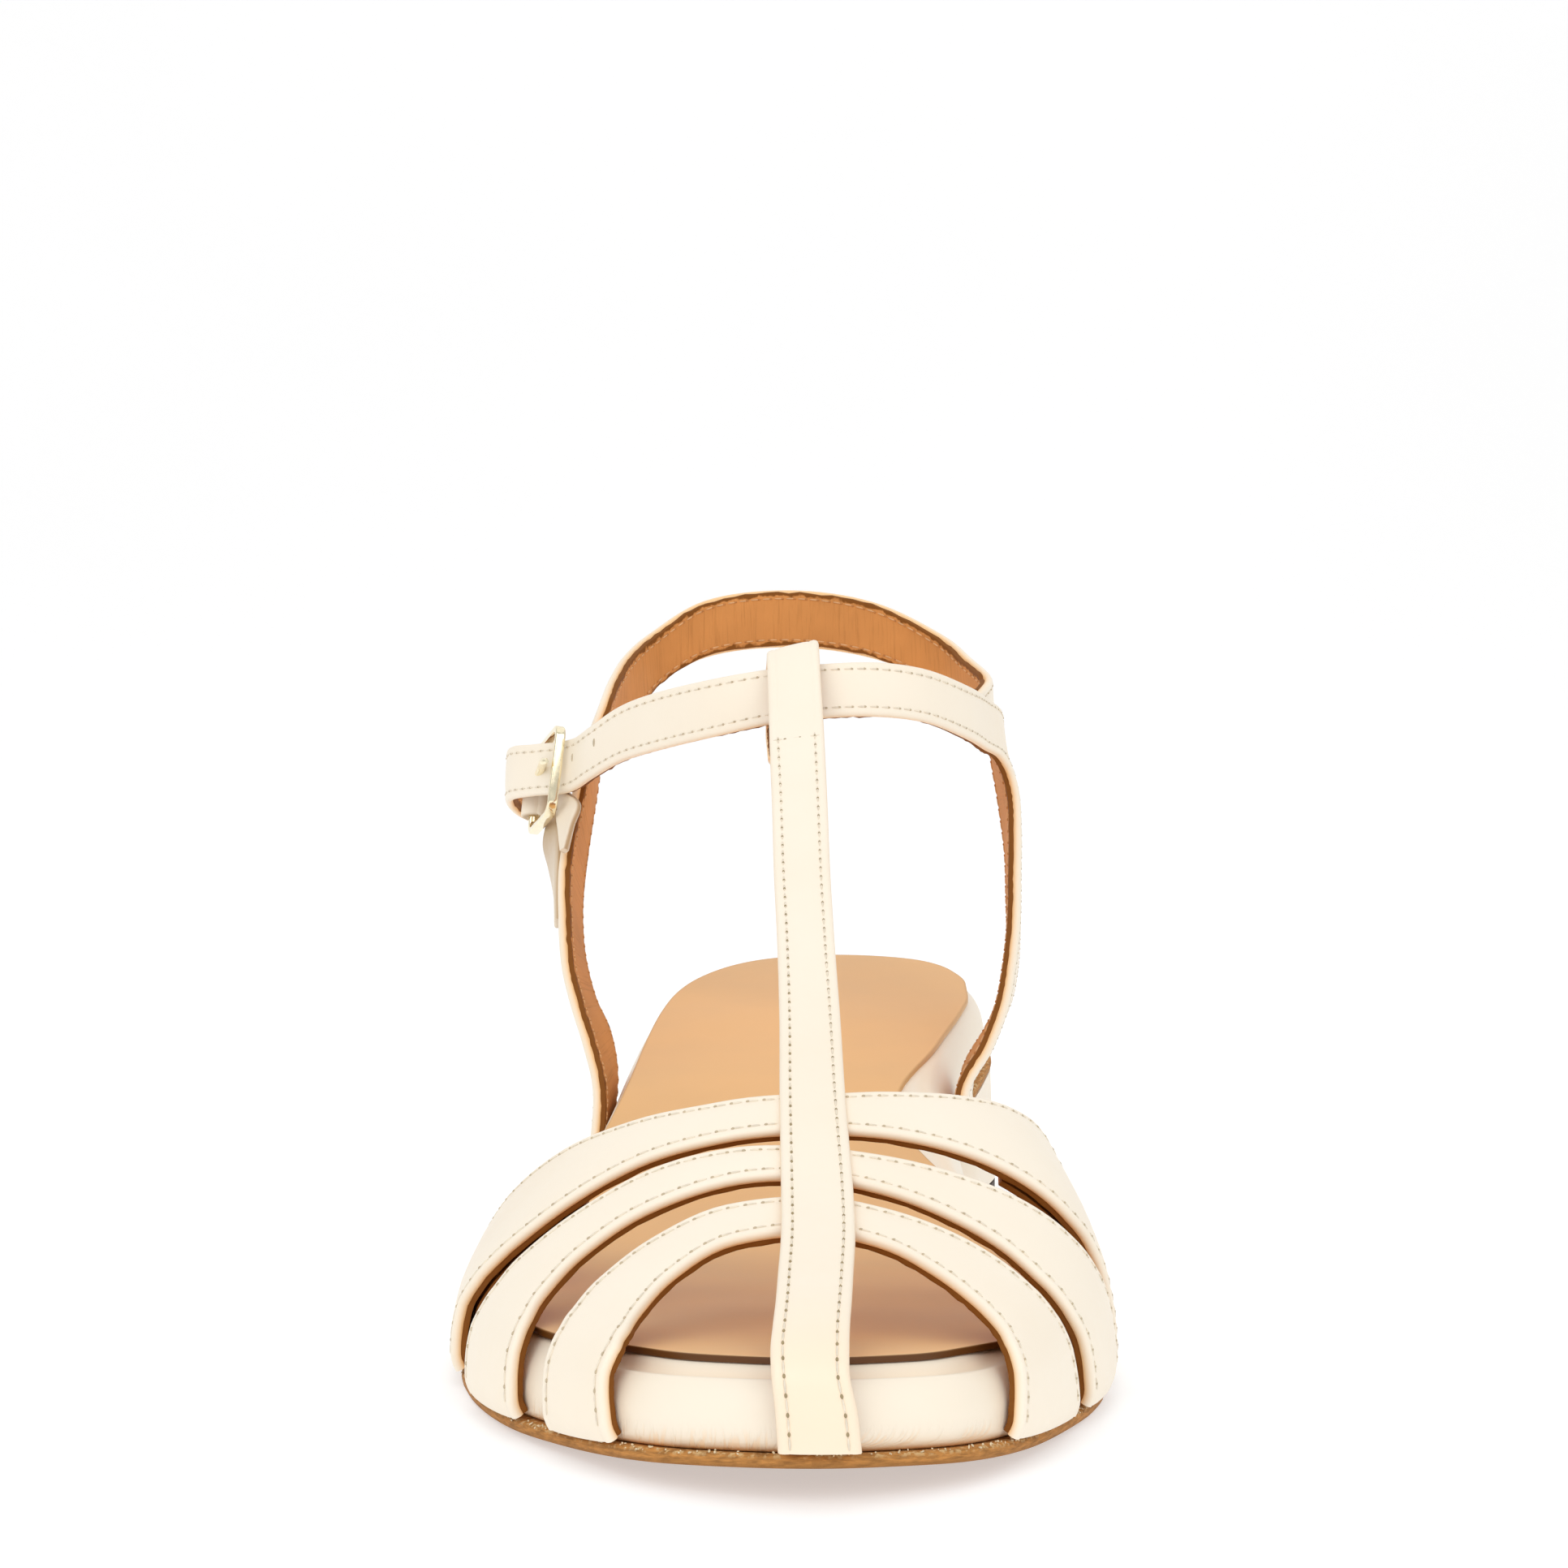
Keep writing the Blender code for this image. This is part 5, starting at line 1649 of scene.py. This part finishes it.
def bar_seams():
    """Seam lines of the T-bar, with the row across under the loop."""
    bar = t_bar()
    stop = next(i for i, row in enumerate(bar.rows) if row[1].z > BAR_STITCH_TOP_Z)
    left = bar.line(STITCH_FROM_EDGE, STITCH_DEPTH, False, BAR_STITCH_START_ROW, stop)
    right = bar.line(STITCH_FROM_EDGE, STITCH_DEPTH, True, BAR_STITCH_START_ROW, stop)
    end = [left[-1].lerp(right[-1], k / BAR_END_STEPS) for k in range(BAR_END_STEPS + 1)]
    return [left, right, end]


def both_edges(strips, from_edge, depth, ends):
    """Seam lines along both edges of strips, short of their ends by a number of rows."""
    paths = []
    for strip in strips:
        for far in (False, True):
            paths.append(strip.line(from_edge, depth, far, ends, len(strip.rows) - ends))
    return paths


def punched_hole_paths(strip):
    """Short marks across the ankle strap at its spare holes."""
    paths = []
    middle = len(strip.rows) // 2
    for x in PUNCHED_HOLE_X:
        i = min(range(middle, len(strip.rows)), key=lambda k: abs(strip.rows[k][1].x - x))
        low = strip.point(i, strip.width(i) * PUNCHED_HOLE_SHARE, PUNCHED_HOLE_DEPTH)
        reach = PUNCHED_HOLE_SHARE + PUNCHED_HOLE_REACH
        high = strip.point(i, strip.width(i) * reach, PUNCHED_HOLE_DEPTH)
        paths.append([low, high])
    return paths


def random_vector(add, low, high, seed):
    """Vector drawn for every bit, with a fixed seed."""
    settings = {"Min": low, "Max": high, "Seed": seed}
    return add("FunctionNodeRandomValue", settings, data_type="FLOAT_VECTOR").outputs["Value"]


def fray_tree():
    """Node tree that strews small, uneven bits along a path."""
    tree, add, given, points = begin_tree("fray_row", ("Pitch", "Radius"), "Bits")
    chance = {"Probability": FRAY_BARE_SHARE, "Seed": FRAY_BARE_SEED}
    bare = add("FunctionNodeRandomValue", chance, data_type="BOOLEAN")
    thinned = {"Geometry": points["Points"], "Selection": bare.outputs["Value"]}
    kept = add("GeometryNodeDeleteGeometry", thinned, domain="POINT")
    shift = random_vector(add, (-FRAY_SHIFT * MM,) * 3, (FRAY_SHIFT * MM,) * 3, FRAY_SHIFT_SEED)
    moved = add("GeometryNodeSetPosition", {"Geometry": kept.outputs["Geometry"], "Offset": shift})
    bit = add("GeometryNodeMeshIcoSphere", {"Radius": given["Radius"], "Subdivisions": 1})
    placed = add("GeometryNodeInstanceOnPoints", {
        "Points": moved.outputs["Geometry"],
        "Instance": bit.outputs["Mesh"],
        "Rotation": random_vector(add, (0.0,) * 3, (math.pi,) * 3, FRAY_TURN_SEED),
        "Scale": random_vector(add, FRAY_SMALLEST, FRAY_LARGEST, FRAY_SIZE_SEED),
    })
    end_tree(add, given, "Bits", placed)
    return tree


def fray_path():
    """Line along the outsole's top edge, around the forefoot from waist to waist."""
    plan = footbed_plan(FRAY_INSET, FINE_STATIONS)
    ring = [Vector((x, y, underside_at(y) + FRAY_HEIGHT)) for x, y in plan]
    count = len(ring)
    reach = next(i for i, point in enumerate(ring) if point.y > FRAY_END_Y)
    return [ring[(i + count) % count] for i in range(-reach, reach + 1)]


class SANDAL_OT_fray(bpy.types.Operator):
    """Strew frayed fibres and specks of glue along the sole's seam"""

    bl_idname = "sandal.fray"
    bl_label = "Frayed Sole Seam"

    def execute(self, context):
        sizes = {"Pitch": FRAY_PITCH * MM, "Radius": FRAY_RADIUS * MM}
        bits = row_piece("sole_fibres", fray_tree(), [fray_path()], "glue_specks", **sizes)
        settle(bits, "outsole_edge")
        return {"FINISHED"}


class SANDAL_OT_stitching(bpy.types.Operator):
    """Sew the straps: thread, and painted shadow in the needle holes, along every seam"""

    bl_idname = "sandal.stitching"
    bl_label = "Stitching"

    def execute(self, context):
        sizes = context.scene.sandal_sizes
        pitch = sizes.stitch_pitch
        tree = stitch_tree()
        half = pitch / MM / 2.0
        ankle = ankle_band(ANKLE_STRAP)
        sling = ankle_band(SLING_STRAP)
        seams = bar_seams()
        straps = cage_strips()[1:] + [ankle, sling]
        crossings = both_edges(straps, STITCH_FROM_EDGE, STITCH_DEPTH, STITCH_END_ROWS)
        inner = (LINING_STITCH_FROM_EDGE, LINING_STITCH_DEPTH, LINING_END_ROWS)
        linings = both_edges([ankle, sling], *inner)
        thread = {"Pitch": pitch, "Length": sizes.stitch_length, "Radius": sizes.thread_radius}
        hole = {"Pitch": pitch, "Length": sizes.hole_length, "Radius": sizes.hole_radius}
        punched = {
            "Pitch": PUNCHED_HOLE_PITCHES * pitch,
            "Length": PUNCHED_HOLE_LENGTH * MM,
            "Radius": PUNCHED_HOLE_RADIUS * MM,
        }
        rows = (
            ("cover_stitches", seams + crossings, thread, "thread"),
            ("cover_hole_shadows", [shortened(path, half) for path in seams], hole, "needle_hole_shadow"),
            ("cross_hole_shadows", [shortened(path, half) for path in crossings], hole, "faint_hole_shadow"),
            ("lining_stitches", linings, thread, "lining_thread"),
            ("lining_hole_shadows", [shortened(path, half) for path in linings], hole, "lining_hole_shadow"),
            ("punched_hole_shadows", punched_hole_paths(ankle), punched, "faint_hole_shadow"),
        )
        for name, paths, size, material in rows:
            settle(row_piece(name, tree, paths, material, **size), "cream_leather")
        return {"FINISHED"}


def stage_sheet():
    """Floor that sweeps up into a backdrop."""
    profile = [(FLOOR_FRONT, 0.0), (FLOOR_BACK, 0.0)]
    for degrees in range(6, 91, 6):
        turn = math.radians(degrees)
        rise = BACKDROP_BEND * (1 - math.cos(turn))
        profile.append((FLOOR_BACK + BACKDROP_BEND * math.sin(turn), rise))
    profile.append((FLOOR_BACK + BACKDROP_BEND, BACKDROP_TOP))
    vertices = [(x, y, z) for y, z in profile for x in (-FLOOR_HALF_WIDTH, FLOOR_HALF_WIDTH)]
    faces = [(2 * i, 2 * i + 1, 2 * i + 3, 2 * i + 2) for i in range(len(profile) - 1)]
    mesh = bpy.data.meshes.new("floor_sweep")
    mesh.from_pydata(vertices, [], faces)
    mesh.shade_smooth()
    mesh.materials.append(material_named("pale_floor"))
    return new_object("floor_sweep", mesh)


def soft_box(row):
    """Rectangular studio light that faces the sandal."""
    light = bpy.data.lights.new(row.name, "AREA")
    light.shape = "RECTANGLE"
    light.size = row.width
    light.size_y = row.height
    light.energy = row.power
    lamp = new_object(row.name, light)
    lamp.location = row.place
    facing = Vector(LIGHT_TARGET) - Vector(row.place)
    lamp.rotation_euler = facing.to_track_quat("-Z", "Y").to_euler()


class SANDAL_OT_stage(bpy.types.Operator):
    """Set the pale floor, the studio light and the camera"""

    bl_idname = "sandal.stage"
    bl_label = "Stage"

    def execute(self, context):
        scene = context.scene
        stage_sheet()
        for row in STUDIO_LIGHTS:
            soft_box(row)
        world = bpy.data.worlds.new("studio_air")
        world.use_nodes = True
        backdrop = world.node_tree.nodes["Background"]
        backdrop.inputs["Color"].default_value = WHITE
        backdrop.inputs["Strength"].default_value = AIR_STRENGTH
        scene.world = world
        scene.view_settings.view_transform = "Standard"
        camera = bpy.data.cameras.new("photo_camera")
        camera.sensor_width = SENSOR_WIDTH
        camera.lens = CAMERA_FOCAL_PIXELS / IMAGE_PIXELS * SENSOR_WIDTH
        camera.clip_start = CLIP_NEAR
        camera.clip_end = CLIP_FAR
        holder = new_object("photo_camera", camera)
        holder.location = in_row(CAMERA_PLACE)
        holder.rotation_euler = (math.radians(90.0 - CAMERA_PITCH), 0.0, 0.0)
        scene.camera = holder
        return {"FINISHED"}


class SANDAL_PT_panel(bpy.types.Panel):
    """Steps that build the sandal, in order"""

    bl_label = "Caged Sandal"
    bl_idname = "SANDAL_PT_panel"
    bl_space_type = "VIEW_3D"
    bl_region_type = "UI"
    bl_category = "Sandal"

    def draw(self, context):
        for step in STEPS:
            self.layout.operator(step.bl_idname)
        for group in (context.scene.sandal_sizes, context.scene.sandal_colours):
            for name in group.bl_rna.properties.keys():
                if name not in ("rna_type", "name"):
                    self.layout.prop(group, name)


STEPS = (
    SANDAL_OT_finishes,
    SANDAL_OT_sole,
    SANDAL_OT_heel,
    SANDAL_OT_cage,
    SANDAL_OT_ankle,
    SANDAL_OT_buckle,
    SANDAL_OT_stitching,
    SANDAL_OT_fray,
    SANDAL_OT_stage,
)
CLASSES = (SandalSizes, SandalColours, *STEPS, SANDAL_PT_panel)


def register():
    for kind in CLASSES:
        bpy.utils.register_class(kind)
    bpy.types.Scene.sandal_sizes = PointerProperty(type=SandalSizes)
    bpy.types.Scene.sandal_colours = PointerProperty(type=SandalColours)


def unregister():
    del bpy.types.Scene.sandal_colours
    del bpy.types.Scene.sandal_sizes
    for kind in reversed(CLASSES):
        bpy.utils.unregister_class(kind)


def main():
    register()
    bpy.ops.sandal.finishes()
    bpy.ops.sandal.sole()
    bpy.ops.sandal.heel()
    bpy.ops.sandal.cage()
    bpy.ops.sandal.ankle()
    bpy.ops.sandal.buckle()
    bpy.ops.sandal.stitching()
    bpy.ops.sandal.fray()
    bpy.ops.sandal.stage()


if __name__ == "__main__":
    main()
